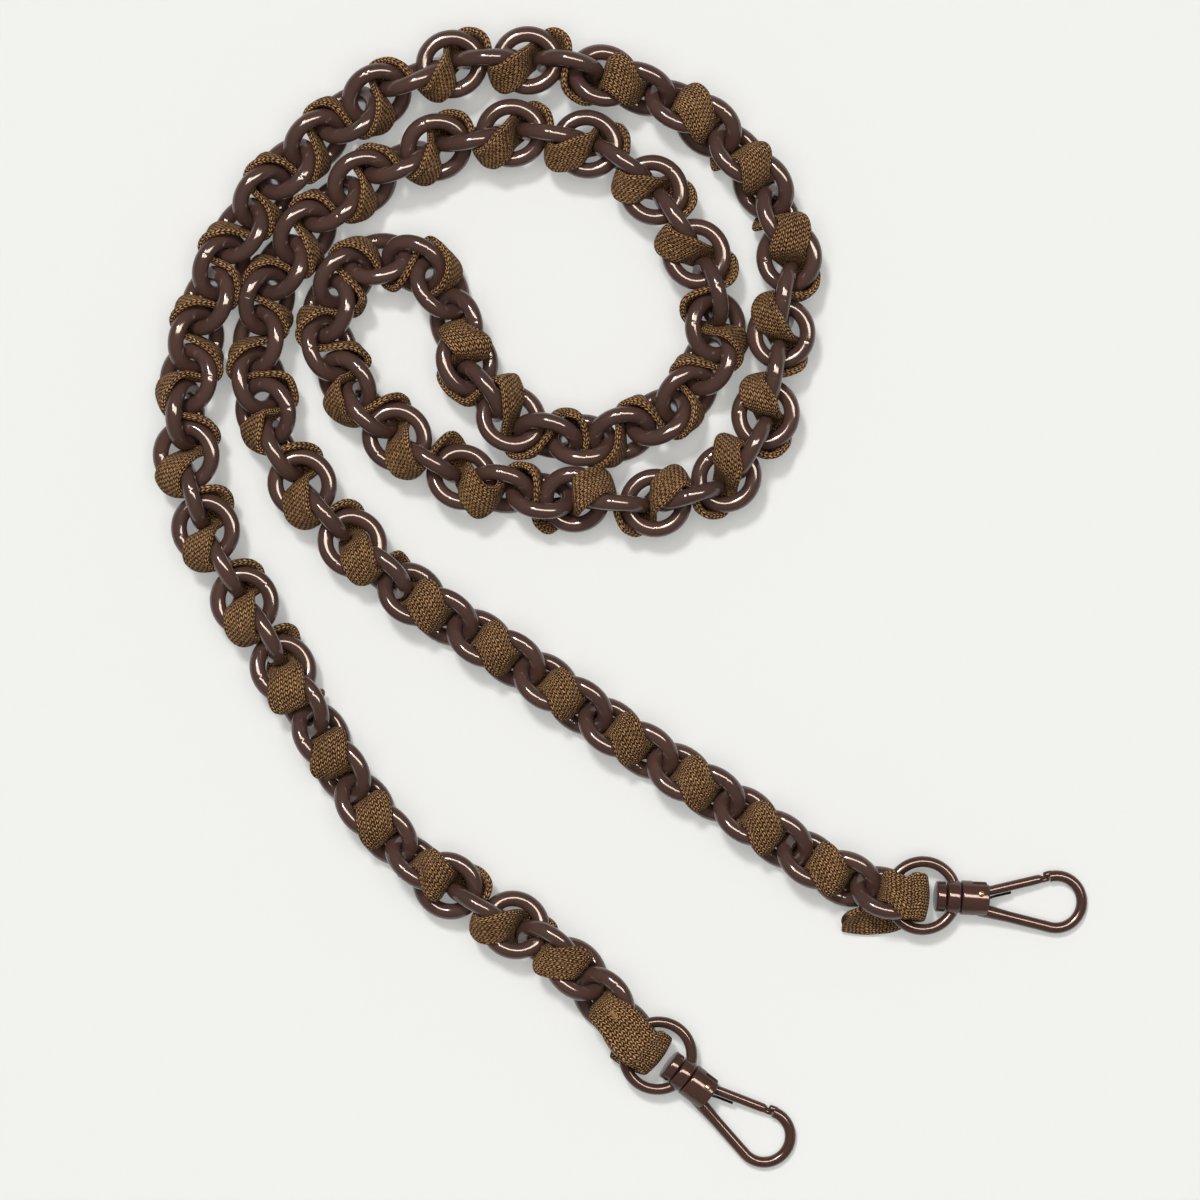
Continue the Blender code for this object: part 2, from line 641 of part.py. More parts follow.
def lay_ribbon(links, rings):
    """Cross-sections of the ribbon, from its tail at the first ring to its tail at the second."""
    sides = ribbon_sides(links)
    arches = {k: arch(k, links, *sides[k]) for k in range(LINK_COUNT + 1)}
    rows = []  # centre, width direction, half width, route number
    wide, tight = RIBBON_WIDTH / 2, RIBBON_NARROWED / 2

    def add(p, w, half, u):
        if rows and np.dot(rows[-1][1], w) < 0:
            w = -w
        rows.append([np.array(p), unit(w), half, u])

    for k in range(LINK_COUNT + 1):
        top, ahead, width, side = arches[k]
        if k:
            # through the hole of link k, from the side of the arch before to the side of this one
            link = links[k]
            if k < LINK_COUNT:
                way = link.normal * (1 if np.dot(side - arches[k - 1][3], link.normal) > 0 else -1)
                add(link.centre, link.across, tight, k - 0.5)
                p = shoulder(link, way, top, ahead)
                add(p, link.across * (1 if np.dot(rows[-1][1], link.across) > 0 else -1)
                    + width * (1 if np.dot(width, rows[-1][1]) > 0 else -1),
                    (wide + tight) / 2, k - 0.25)
            else:
                last = arches[k - 1]
                lift = (last[0] + top) / 2 + side * RIBBON_THICK
                add(lift, last[2] + width * (1 if np.dot(width, last[2]) > 0 else -1), wide, k - 0.5)
        add(top, width, wide, k)
        if k + 1 < LINK_COUNT:
            link = links[k + 1]
            way = link.normal * (
                1 if np.dot(arches[k + 1][3] - side, link.normal) > 0 else -1)
            p = shoulder(link, -way, top, -ahead)
            w = link.across * (1 if np.dot(rows[-1][1], link.across) > 0 else -1)
            add(p, w + rows[-1][1], (wide + tight) / 2, k + 0.25)
    fold_a = fold_rows(rings["a"], FOLD_A, rows[0])
    fold_b = fold_rows(rings["b"], FOLD_B, rows[-1])
    rows = fold_a[::-1] + rows + fold_b
    return rows


# The ribbon's turn round each ring and its sewn tail, in the ring's own frame: out, right and up
# from the ring's centre as shares of the ring's middle radius, and the lean of its width in
# degrees, from level at 0 to standing on its right edge at 90.
FOLD_A = (
    (-0.5, -0.02, 0.66, 0), (-0.08, 0.0, 0.52, 0), (0.1, 0.06, 0.05, 0),
    (-0.05, 0.18, -0.45, 0), (-0.5, 0.36, -0.6, 3), (-1.05, 0.62, -0.5, 25),
    (-1.65, 0.8, -0.36, 50), (-2.25, 0.88, -0.28, 66),
)
FOLD_B = (
    (-0.55, 0.0, 0.62, 0), (-0.2, 0.0, 0.5, 0), (-0.02, 0.0, 0.05, 0),
    (-0.2, 0.0, -0.4, 0), (-0.7, 0.0, -0.48, 0), (-1.15, 0.0, -0.45, 0),
)


def fold_rows(matrix, shares, last):
    rows = []
    width = last[1]
    end_u = last[3]
    turn = np.array(matrix)[:3, :3]
    for out, right, up, lean in shares:
        p = np.array(matrix @ Vector((out * RING_LINE, right * RING_LINE, up * RING_LINE)))
        a = math.radians(lean)
        w = turn @ np.array((0.0, math.cos(a), -math.sin(a)))
        if np.dot(w, width) < 0:
            w = -w
        width = w
        rows.append([p, w, RIBBON_WIDTH / 2, end_u])
    return rows


def relax(rows, links, rings):
    """Moves each cross-section off the wires that it comes too close to."""
    need = RIBBON_THICK / 2 + RIBBON_GAP
    lines = {j: link.line(fine=5) for j, link in links.items()}
    circles = {}
    angles = np.arange(60) * 2 * math.pi / 60
    for which, matrix in rings.items():
        circle = np.stack([RING_LINE * np.cos(angles), RING_LINE * np.sin(angles), 0 * angles], 1)
        m = np.array(matrix)
        circles[which] = circle @ m[:3, :3].T + m[:3, 3]
    near = []
    for row in rows:
        js = [j for j, link in links.items()
              if np.linalg.norm(link.centre - row[0]) < LINK_LENGTH + RIBBON_WIDTH / 2]
        points = [lines[j] for j in js]
        radii = [np.full(len(lines[j]), WIRE_R) for j in js]
        for which, end in (("a", 0), ("b", LINK_COUNT)):
            if abs(row[3] - end) < 2:
                points.append(circles[which])
                radii.append(np.full(len(angles), RING_R))
        near.append((np.concatenate(points), np.concatenate(radii)))
    shares = np.linspace(-1, 1, 9)[:, None]

    def push(centre, width, half, obstacles):
        sample = centre + shares * half * width
        away = sample[:, None] - obstacles[0][None]
        dist = np.sqrt((away**2).sum(-1))
        lack = obstacles[1][None] + need - dist
        i, k = np.unravel_index(np.argmax(lack), lack.shape)
        if lack[i, k] <= 0:
            return None
        return away[i, k] / max(dist[i, k], 1e-9) * lack[i, k], float(shares[i, 0])

    def shift(row, step, share, weight):
        # a push at one edge also turns the ribbon
        row[0] = row[0] + step * PUSH_SHARE * weight
        row[1] = unit(row[1] + step * TURN_SHARE * share * weight / row[2])
        if settling and abs(share) > 2 / 3:
            row[2] = max(row[2] * GATHER_SHARE, RIBBON_WIDTH / 2 * NARROWEST_SHARE)
        # and it stays on the floor
        row[0][2] = max(row[0][2], row[2] * abs(row[1][2]) + RIBBON_THICK / 2)

    # stretches of the ribbon that lie beside each other, one turn of the chain apart
    twos = [(i, k) for i, one in enumerate(rows) for k, other in enumerate(rows[:i])
            if abs(one[3] - other[3]) > 1.5
            and np.linalg.norm(one[0] - other[0]) < RIBBON_WIDTH + RIBBON_APART]

    def part(one, other):
        """Pushes two cross-sections of the ribbon apart where they come too close."""
        a, b = one[0] + shares * one[2] * one[1], other[0] + shares * other[2] * other[1]
        away = a[:, None] - b[None]
        dist = np.sqrt((away**2).sum(-1))
        i, k = np.unravel_index(np.argmin(dist), dist.shape)
        lack = RIBBON_APART - dist[i, k]
        if lack > 0:
            step = away[i, k] / max(dist[i, k], PRESS_GAP) * lack / 2
            shift(one, step, float(shares[i, 0]), 1.0)
            shift(other, -step, float(shares[k, 0]), 1.0)

    settling = False
    for turn in range(RELAX_ROUNDS):
        moved = 0.0
        settling = turn > RELAX_ROUNDS / 3
        for i, k in twos:
            part(rows[i], rows[k])
        for i, row in enumerate(rows):
            step = push(row[0], row[1], row[2], near[i])
            if step is not None:
                shift(row, *step, 1.0)
                moved = max(moved, float(np.linalg.norm(step[0])))
            if i + 1 < len(rows):
                other = rows[i + 1]
                for share in (1 / 3, 2 / 3):
                    step = push(
                        row[0] * (1 - share) + other[0] * share,
                        row[1] * (1 - share) + other[1] * share,
                        row[2] * (1 - share) + other[2] * share, near[i])
                    if step is not None:
                        shift(row, *step, 1 - share)
                        shift(other, *step, share)
                        moved = max(moved, float(np.linalg.norm(step[0])))
        if moved < RIBBON_GAP / 10:
            break
    print("ribbon: the last round moved a cross-section by", round(moved, 3))
    return rows


def tree_of(obj):
    mesh = obj.data
    return BVHTree.FromPolygons(
        [v.co for v in mesh.vertices], [tuple(face.vertices) for face in mesh.polygons])


def make_room(ribbon, links):
    """Presses a dent into the ribbon wherever a wire still touches it."""
    tree = tree_of(ribbon)
    for link in links.values():
        room = link_object(link, "room", PRESS_GAP / 4)
        touches = tree.overlap(tree_of(room))
        bpy.data.objects.remove(room)
        if touches:
            joined(ribbon, link_object(link, "room", PRESS_GAP), "DIFFERENCE")
            print("ribbon dented at link", link.j)
    return ribbon


def ribbon_object(rows):
    """The ribbon as a flat band of four corners at each cross-section."""
    corners = 4
    points = []
    n = len(rows)
    for i, (centre, width, half, _) in enumerate(rows):
        way = rows[min(i + 1, n - 1)][0] - rows[max(i - 1, 0)][0]
        out = unit(np.cross(way, width))
        for a, b in ((-1, -1), (1, -1), (1, 1), (-1, 1)):
            points.append(centre + a * half * width + b * RIBBON_THICK / 2 * out)
    # both broad faces of a stretch are cut along the same diagonal, so that they stay parallel
    # however much the ribbon twists there
    faces = []
    for i in range(n - 1):
        a, b = corners * i, corners * (i + 1)
        faces += [(a + 1, a + 2, b + 2, b + 1), (a + 3, a, b, b + 3)]
        one = np.linalg.norm(points[a] - points[b + 1])
        two = np.linalg.norm(points[a + 1] - points[b])
        if one < two:
            faces += [(a, a + 1, b + 1), (a, b + 1, b), (a + 3, b + 3, b + 2), (a + 3, b + 2, a + 2)]
        else:
            faces += [(a, a + 1, b), (a + 1, b + 1, b), (a + 3, b + 3, a + 2), (a + 2, b + 3, b + 2)]
    faces += [tuple(range(corners)), tuple(corners * (n - 1) + k for k in range(corners))]
    return new_mesh_object("ribbon", points, faces)


# Finishing.
LOOKS = {
    "resin": ((0.07, 0.032, 0.024), 0.0, 0.25),
    "knit": ((0.19, 0.1, 0.045), 0.0, 0.9),
    "metal": ((0.075, 0.035, 0.027), 0.6, 0.35),
    "spring": ((0.02, 0.02, 0.02), 0.9, 0.4),
}


def finish(obj, name, look):
    """Names the piece, gives it its own material and turns millimetres into metres."""
    obj.name = name
    obj.data.name = name
    colour, metallic, rough = LOOKS[look]
    material = bpy.data.materials.new(name)
    material.use_nodes = True
    shader = material.node_tree.nodes["Principled BSDF"]
    shader.inputs["Base Color"].default_value = (*colour, 1)
    shader.inputs["Metallic"].default_value = metallic
    shader.inputs["Roughness"].default_value = rough
    obj.data.materials.clear()
    obj.data.materials.append(material)
    obj.data.transform(Matrix.Scale(MM, 4))


def main():
    for obj in list(bpy.data.objects):
        bpy.data.objects.remove(obj)
    links, groups = lay_chain()
    print("route ends: last link at number", round(links[LINK_COUNT].u, 2), "pixel", round(PIXEL, 4))
    for number, members in enumerate(groups, 1):
        obj = link_object(links[members[0]], "link")
        for j in members[1:]:
            joined(obj, link_object(links[j], "other"))
        finish(obj, f"links_{number:02d}", "resin")
    # the ring's wire lies in the end link, against the inside of its tip
    reach = LONG - WIRE_R - RING_R - RING_ROOM
    first, last = links[1], links[LINK_COUNT]
    rings = {
        "a": hook_frame("a", first.centre - reach * first.ahead),
        "b": hook_frame("b", last.centre + reach * last.ahead),
    }
    makers = (
        ("swivel_ring", swivel_ring, "metal"), ("swivel_post", swivel_post, "metal"),
        ("hook_body", hook_body, "metal"), ("gate", gate, "metal"),
        ("gate_pin", gate_pin, "metal"), ("gate_spring", spring_object, "spring"),
    )
    for which, matrix in rings.items():
        for name, make, look in makers:
            obj = make()
            obj.data.transform(matrix)
            if matrix.determinant() < 0:
                obj.data.flip_normals()
            finish(obj, f"{name}_{which}", look)
    rows = relax(lay_ribbon(links, rings), links, rings)
    finish(make_room(ribbon_object(rows), links), "ribbon", "knit")
    # the lowest point of all lies on the floor
    objects = list(bpy.data.objects)
    drop = min(v.co.z for obj in objects for v in obj.data.vertices)
    for obj in objects:
        obj.data.transform(Matrix.Translation((0, 0, -drop)))
    print("lowered by", round(drop / MM, 3), "mm")


main()
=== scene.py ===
"""The looks of a detachable bag strap: glossy resin links, a knitted ribbon woven through them, and a
swivel snap hook at each end, lying on a pale floor and seen from straight above.

Everything is in metres and in the packed frame. The chain and the ribbon are laid by the same rule
and through the same points as their solids; the hooks stand on the joints that the frame gives.
"""

import functools
import json
import math

import bmesh
import bpy
import numpy as np
from bpy.props import FloatProperty, FloatVectorProperty, IntProperty, PointerProperty
from mathutils import Matrix, Vector


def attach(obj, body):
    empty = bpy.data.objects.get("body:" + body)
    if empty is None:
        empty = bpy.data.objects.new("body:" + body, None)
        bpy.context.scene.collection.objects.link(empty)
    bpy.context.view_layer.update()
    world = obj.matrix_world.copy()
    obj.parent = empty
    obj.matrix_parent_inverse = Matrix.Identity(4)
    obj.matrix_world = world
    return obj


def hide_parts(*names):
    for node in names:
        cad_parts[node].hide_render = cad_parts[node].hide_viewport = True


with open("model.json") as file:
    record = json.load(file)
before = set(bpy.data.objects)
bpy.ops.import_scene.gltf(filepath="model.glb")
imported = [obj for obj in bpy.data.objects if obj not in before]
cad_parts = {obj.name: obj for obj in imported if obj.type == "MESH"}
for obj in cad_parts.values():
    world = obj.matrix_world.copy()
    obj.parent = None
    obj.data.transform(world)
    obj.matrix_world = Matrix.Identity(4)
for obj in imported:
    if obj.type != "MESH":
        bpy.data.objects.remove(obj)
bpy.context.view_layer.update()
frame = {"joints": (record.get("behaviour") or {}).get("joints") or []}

bl_info = {
    "name": "Woven chain strap",
    "version": (1, 0, 0),
    "blender": (4, 5, 0),
    "location": "View3D > Sidebar > Strap",
    "description": "Dresses a bag strap of resin links, a woven knitted ribbon and two snap hooks",
    "category": "Add Mesh",
}

MM = 0.001


def srgb(text):
    """An sRGB hex colour as Blender's linear one."""
    parts = [int(text[i:i + 2], 16) / 255 for i in (0, 2, 4)]
    return [p / 12.92 if p <= 0.04045 else ((p + 0.055) / 1.055) ** 2.4 for p in parts]


def length(name, value, text):
    return FloatProperty(name=name, description=text, default=value * MM, unit="LENGTH", precision=5)


def amount(name, value, text):
    return FloatProperty(name=name, description=text, default=value, min=0)


def colour(name, text, hex_value):
    return FloatVectorProperty(
        name=name, description=text, default=srgb(hex_value), size=3, subtype="COLOR", min=0, max=1)


# what a user would change
class LinkSizes(bpy.types.PropertyGroup):
    """The chain's links."""
    long: length("Length", 18.8, "Outside length of a link")
    wide: length("Width", 17.9, "Outside width of a link")
    wire: length("Wire", 4.2, "Thickness of the resin wire")
    bite: length("Bite", 0.3, "How deeply the links of one group bear on each other")
    bend_bite: length("Bite in a bend", 2.0, "More of it, times one less the cosine of the bend")
    gap: length("Gap", 0.5, "Air between two groups of links")
    play: length("Play", 0.45, "How much looser a group may lie")
    seam: length("Seam", 0.16, "Width of the line where a link was closed")
    tint: colour("Resin", "Colour of the dark brown cast resin", "513a34")


class RibbonSizes(bpy.types.PropertyGroup):
    """The knitted ribbon."""
    wide: length("Width", 9.4, "Width of the ribbon where it lies free")
    narrow: length("Gathered width", 7.4, "Width where a link's hole gathers it")
    thick: length("Thickness", 0.8, "Thickness of the knit")
    gap: length("Air", 0.4, "Air kept from the links when the ribbon is laid")
    apart: length("Turn to turn", 2.0, "Air kept between neighbouring turns of the ribbon")
    full: length("Knit thickness", 1.7, "Thickness of the soft knit, which fills the air round it")
    stitch_wide: length("Stitch width", 1.4, "One column of stitches")
    stitch_high: length("Stitch height", 1.1, "One row of stitches")
    crown: length("Crown", 1.0, "How far the ribbon's middle bulges over its edges")
    spread: FloatProperty(name="Spread", description="How much wider it lies free than in a hole",
                          default=0.15, min=0, max=0.6)
    # the knit's two colours are painted light and painted shade: the yarn lit where it stands up, and
    # near black in the painted shade between the stitches
    light: colour("Yarn, lit", "Golden brown of the yarn where it stands up", "e2b07a")
    dark: colour("Yarn, deep", "The yarn down between the stitches", "1e0c04")
    bar_long: length("Bar length", 2.4, "Length of the sewn bar")
    bar_wide: length("Bar width", 1.1, "Width of the sewn bar")
    bar_thread: length("Thread", 0.32, "Thickness of the sewing thread")
    bar: colour("Sewing thread", "Thread of the sewn bar at the second ring", "a98352")


class HookSizes(bpy.types.PropertyGroup):
    """Both swivel hooks."""
    ring_outside: length("Ring", 20.6, "Outside diameter of the swivel ring")
    ring_wire: length("Ring wire", 2.9, "Thickness of the ring")
    boss_radius: length("Boss radius", 4.5, "Radius of the boss on the ring")
    boss_long: length("Boss length", 3.4, "Length of the boss")
    head_radius: length("Rivet radius", 4.0, "Radius of the rivet's head")
    head_thick: length("Rivet head", 2.4, "Thickness of the rivet's head")
    barrel_radius: length("Barrel radius", 4.5, "Radius of the hook's barrel")
    barrel_long: length("Barrel length", 7.2, "Length of the hook's barrel")
    turn_gap: length("Swivel gap", 0.35, "Air between the boss and the barrel")
    nose_out: length("Nose distance", 35.3, "From the ring's centre to the nose's")
    nose_radius: length("Nose radius", 6.8, "Radius of the nose's middle line")
    wire: length("Hook wire", 2.9, "Thickness of the hook's arm and nose")
    gate_thick: length("Gate", 2.4, "Thickness of the gate")
    pin_out: length("Pin distance", 4.8, "From the barrel's start to the gate's pin")
    pin_side: length("Pin side", 1.3, "How far the pin stands to the side")
    pin_radius: length("Pin radius", 0.8, "Radius of the gate's pin")
    spring_wire: length("Spring wire", 0.7, "Thickness of the spring's wire")
    tint: colour("Enamel", "Dark brown enamel on the castings", "4d342d")
    # the pale colour of the pins' ends is a painted highlight: it makes the small bright ring on each
    # pin
    pin_highlight_tint: colour("Pin ends", "Metal at the pins' ends, where the enamel is rubbed off", "a8846a")
    steel: colour("Spring steel", "Blackened spring wire", "1d1b1b")


class StageSizes(bpy.types.PropertyGroup):
    """The floor, the lamps and the camera."""
    camera_high: length("Camera height", 1600, "Above the floor")
    floor_wide: length("Floor", 6000, "Side of the pale floor")
    paper: colour("Floor", "Off-white translucent sheet", "d6d6d3")
    lit: colour("Glow colour", "Tint of the light that the floor's sheet lets through", "fcfffe")
    room: colour("Room colour", "Tint of the even light from all round", "f6f5f2")
    glow: amount("Glow", 0.22, "Light that the floor's sheet lets through from below")
    light: amount("Light", 1.0, "Level of all the lamps")
    sky: amount("Room", 0.16, "Even light from all round")
    fill: amount("Overhead", 25.0, "Power of the wide soft lamp overhead")
    key: amount("Key", 1.5, "Strength of the key light")
    strip: amount("Strip", 95.0, "Power of the long warm lamp")
    steps: IntProperty(name="Smoothness", description="Points round a link", default=56, min=16)


GROUPS = (("strap_links", LinkSizes), ("strap_ribbon", RibbonSizes), ("strap_hooks", HookSizes),
          ("strap_stage", StageSizes))


def sizes(name):
    return getattr(bpy.context.scene, name)


# the route, as in the solids
LINK_COUNT = 117
LINKS_PER_GROUP = 3
BENT_SHARE = 0.98
NEAREST_SHARE, FARTHEST_SHARE = 0.7, 1.3
END_DEG = 40
FINE = 33
HALVINGS = 24
HOLE_PULL_SHARE = 1.97
ARCH_PULL_SHARE = 2.1
SHOULDER_SHARE = 0.5
PUSH_SHARE = 0.6
TURN_SHARE = 0.6
GATHER_SHARE = 0.985
NARROWEST_SHARE = 0.6
RELAX_ROUNDS = 140
LEAST_FROM_LINK_DEG = 27
SEEK_STEP_DEG = 3
PHOTO_MIDDLE_PX = (600, 600)
ORIGIN_PX = (621.3, 598.6)
PHOTO_SIDE_PX = 1200
# (number of the meeting point, x, y) in pixels of the photograph
ROUTE_PX = (
    (0, 902, 898), (2, 828, 871), (4, 763, 827), (8, 628, 739), (12, 496, 648), (15, 396, 583),
    (17, 339, 529), (19, 291, 468), (21, 261, 397), (23, 260, 321), (25, 290, 252),
    (27, 341, 197), (30, 440, 146), (33, 554, 135), (35, 625, 163), (37, 676, 219),
    (39, 710, 287), (41, 712, 359), (43, 664, 415), (45, 593, 441), (47, 523, 427),
    (49, 472, 378), (51, 451, 304), (52, 428, 269), (53, 390, 254), (54, 351, 268),
    (55, 328, 301), (56, 325, 342), (57, 343, 379), (59, 402, 442), (61, 470, 481),
    (64, 588, 501), (66, 666, 503), (68, 737, 471), (69, 758, 439), (70, 769, 402),
    (72, 782, 327), (74, 790, 253), (76, 762, 183), (78, 711, 127), (80, 645, 90),
    (83, 532, 61), (85, 455, 63), (88, 345, 117), (91, 261, 199), (94, 206, 304),
    (97, 185, 419), (99, 193, 495), (102, 244, 600), (106, 321, 735), (110, 414, 861),
    (113, 514, 924), (115, 578, 970), (117, 628, 1031),
)
# (link, degrees that its plane is twisted about the chain's line)
LINK_ROLL = (
    (1, -6), (4, 0), (14, 0), (18, 45), (19, 45), (22, 90), (25, 90), (27, 100),
    (29, 112), (31, 125), (33, 135), (38, 135), (41, 180), (45, 180), (47, 210), (48, 210),
    (50, 180), (57, 180), (59, 225), (60, 225), (65, 315), (72, 315), (76, 355),
    (79, 355), (83, 405), (85, 405), (88, 450), (95, 450), (99, 495), (102, 495),
    (106, 540), (109, 540), (115, 630), (117, 636),
)
# (meeting point, degrees that the ribbon's place over it is turned to the right)
RIBBON_ROLL = (
    (0, 0), (14, 0), (16, 20), (18, 45), (20, 60), (22, 80), (24, 92), (25, 105),
    (27, 115), (29, 122), (31, 133), (34, 140), (37, 135), (38, 110), (39, 80),
    (41, 88), (42, 82), (44, 78), (45, 88), (46, 92), (47, 115), (49, 135), (50, 130),
    (53, 110), (54, 95), (55, 88), (57, 135), (59, 138), (61, 135), (62, 105),
    (63, 65), (64, 48), (66, 40), (68, 30), (70, 25), (72, 15), (74, -15), (76, -22),
    (80, -15), (81, -70), (82, -105), (83, -130), (85, -135), (87, -118), (89, -100),
    (92, -90), (95, -90), (96, -75), (98, -60), (100, -45), (102, -32), (104, -20),
    (106, -10), (108, 0), (117, 0),
)
# the ribbon round each ring: out, right, up as shares of the ring's middle radius, lean in degrees
FOLD_SHARES = {
    "a": ((-0.5, -0.02, 0.66, 0), (-0.08, 0.0, 0.52, 0), (0.1, 0.06, 0.05, 0),
          (-0.05, 0.18, -0.45, 0), (-0.5, 0.36, -0.6, 3), (-1.05, 0.62, -0.5, 25),
          (-1.65, 0.8, -0.36, 50), (-2.25, 0.88, -0.28, 66)),
    "b": ((-0.55, 0.0, 0.62, 0), (-0.2, 0.0, 0.5, 0), (-0.02, 0.0, 0.05, 0),
          (-0.2, 0.0, -0.4, 0), (-0.7, 0.0, -0.48, 0), (-1.15, 0.0, -0.45, 0)),
}
UP = np.array((0.0, 0.0, 1.0))


class Spline:
    """A natural cubic through the route's points, with the meeting point's number as parameter."""

    def __init__(self, knots):
        self.u = np.array([k[0] for k in knots], float)
        self.p = np.array([k[1:] for k in knots], float)
        h = np.diff(self.u)
        n = len(self.u)
        a, b = np.eye(n), np.zeros((n, self.p.shape[1]))
        for i in range(1, n - 1):
            a[i, i - 1:i + 2] = h[i - 1], 2 * (h[i - 1] + h[i]), h[i]
            b[i] = 6 * ((self.p[i + 1] - self.p[i]) / h[i] - (self.p[i] - self.p[i - 1]) / h[i - 1])
        self.m = np.linalg.solve(a, b)

    def at(self, u):
        i = int(np.clip(np.searchsorted(self.u, u) - 1, 0, len(self.u) - 2))
        h = self.u[i + 1] - self.u[i]
        a, b = (self.u[i + 1] - u) / h, (u - self.u[i]) / h
        p = a * self.p[i] + b * self.p[i + 1]
        return p + ((a**3 - a) * self.m[i] + (b**3 - b) * self.m[i + 1]) * h * h / 6


def unit(v):
    return v / np.linalg.norm(v)


def in_table(table, k):
    return float(np.interp(k, [row[0] for row in table], [row[1] for row in table]))


def nearest(one, other):
    return float(np.sqrt(((one[:, None] - other[None]) ** 2).sum(-1)).min())


def round_angles(count):
    return np.arange(count) * 2 * math.pi / count


class Chain:
    """All the links of the strap where they lie."""

    def __init__(self):
        s = sizes("strap_links")
        self.wire_r = s.wire / 2
        self.half_long = s.long / 2 - self.wire_r
        self.half_wide = s.wide / 2 - self.wire_r
        self.taut = s.long - 2 * s.wire
        self.mean = ((LINKS_PER_GROUP - 1) * (self.taut + s.bite) + self.taut - s.gap - s.play / 2
                     ) / LINKS_PER_GROUP
        self.route = Spline(ROUTE_PX)
        points = np.array([self.route.at(u) for u in np.linspace(0, LINK_COUNT, 10 * LINK_COUNT + 1)])
        self.pixel = BENT_SHARE * self.mean * LINK_COUNT / float(
            np.hypot(*np.diff(points, axis=0).T).sum())

    def floor_point(self, px, py):
        return np.array(((px - ORIGIN_PX[0]) * self.pixel, (ORIGIN_PX[1] - py) * self.pixel, 0.0))

    def turn(self, j):
        """The angle of link j's plane about the chain's line, from the left side upwards."""
        return math.radians((45 if j % 2 else -45) - in_table(LINK_ROLL, j))

    def height(self, k):
        """The chain's centre above the floor, so that the links' lowest points lie on it."""
        low = max(1, min(LINK_COUNT, int(math.floor(k))))
        high = min(LINK_COUNT, low + 1)
        share = min(1.0, max(0.0, k - low))
        at = [self.wire_r + self.half_wide * max(abs(math.sin(t)), abs(math.cos(t)))
              for t in (self.turn(low), self.turn(high))]
        return (1 - share) * at[0] + share * at[1]

    def frame_at(self, u, j):
        back = self.floor_point(*self.route.at(u - 0.5))
        front = self.floor_point(*self.route.at(u + 0.5))
        centre = (back + front) / 2
        centre[2] = self.height(j)
        ahead = unit(front - back)
        return centre, ahead, np.cross(UP, ahead)

    def next_link(self, link, wanted, ahead=1, bite=0.0):
        """The neighbour whose end comes `wanted` close to this link's end, found by halving."""
        line = link.end(ahead)
        near, far = NEAREST_SHARE, FARTHEST_SHARE
        for _ in range(HALVINGS):
            mid = (near + far) / 2
            other = Link(self, link.j + ahead, link.u + ahead * mid)
            bend = 1 - np.dot(link.ahead, other.ahead)
            if nearest(line, other.end(-ahead)) > wanted - bite * bend:
                near = mid
            else:
                far = mid
        return Link(self, link.j + ahead, link.u + ahead * (near + far) / 2)

    @functools.cached_property
    def links(self):
        """The links by number, laid group by group when they are first asked for."""
        s, links = sizes("strap_links"), {}
        touch, air = s.wire - s.bite, s.wire + s.gap
        last = None
        for start in range(1, LINK_COUNT + 1, LINKS_PER_GROUP):
            middle = start + LINKS_PER_GROUP // 2
            u = middle - 0.5
            if last is not None:
                first = self.next_link(last, air)
                farthest = self.next_link(first, touch, 1, s.bend_bite).u
                u = min(max(u, farthest - s.play / self.mean), farthest)
            members = [Link(self, middle, u)]
            members.insert(0, self.next_link(members[0], touch, -1, s.bend_bite))
            members.append(self.next_link(members[1], touch, 1, s.bend_bite))
            for link in members:
                links[link.j] = link
            last = members[-1]
        return links


class Link:
    """One link: its centre, its own directions, and its middle line."""

    def __init__(self, chain, j, u):
        self.j, self.u, self.chain = j, u, chain
        self.centre, self.ahead, left = chain.frame_at(u, j)
        turn = chain.turn(j)
        self.across = math.cos(turn) * left + math.sin(turn) * UP
        self.normal = np.cross(self.ahead, self.across)

    def at(self, beta):
        beta = np.asarray(beta)[:, None]
        return (self.centre + self.chain.half_long * np.cos(beta) * self.ahead
                + self.chain.half_wide * np.sin(beta) * self.across)

    def end(self, way):
        beta = np.radians(np.linspace(-END_DEG, END_DEG, FINE))
        return self.at(beta if way > 0 else math.pi - beta)


# meshes
def new_piece(name, points, faces, material, smooth=True):
    """A mesh object from points and faces, with outward normals and one material."""
    mesh = bpy.data.meshes.new(name)
    mesh.from_pydata([tuple(map(float, p)) for p in points], [], faces)
    bm = bmesh.new()
    bm.from_mesh(mesh)
    bmesh.ops.recalc_face_normals(bm, faces=bm.faces)
    bm.to_mesh(mesh)
    bm.free()
    mesh.materials.append(material)
    if smooth:
        mesh.polygons.foreach_set("use_smooth", [True] * len(mesh.polygons))
    obj = bpy.data.objects.new(name, mesh)
    bpy.context.scene.collection.objects.link(obj)
    return obj


def grid_faces(rings, sides, closed, first=0):
    """Faces of a tube of `rings` cross-sections: joined end to end, or with both ends shut."""
    faces = []
    for i in range(rings if closed else rings - 1):
        a, b = first + i * sides, first + (i + 1) % rings * sides
        faces += [(a + k, a + (k + 1) % sides, b + (k + 1) % sides, b + k) for k in range(sides)]
    if not closed:
        faces.append(tuple(first + k for k in range(sides)))
        faces.append(tuple(first + (rings - 1) * sides + k for k in range(sides)))
    return faces


def round_wire(stations, sides, closed):
    """Points and faces of a wire from cross-sections: centre, two directions and radius."""
    points = [centre + r * (math.cos(a) * one + math.sin(a) * two) for centre, one, two, r in stations
              for a in (2 * math.pi * k / sides for k in range(sides))]
    return points, grid_faces(len(stations), sides, closed)


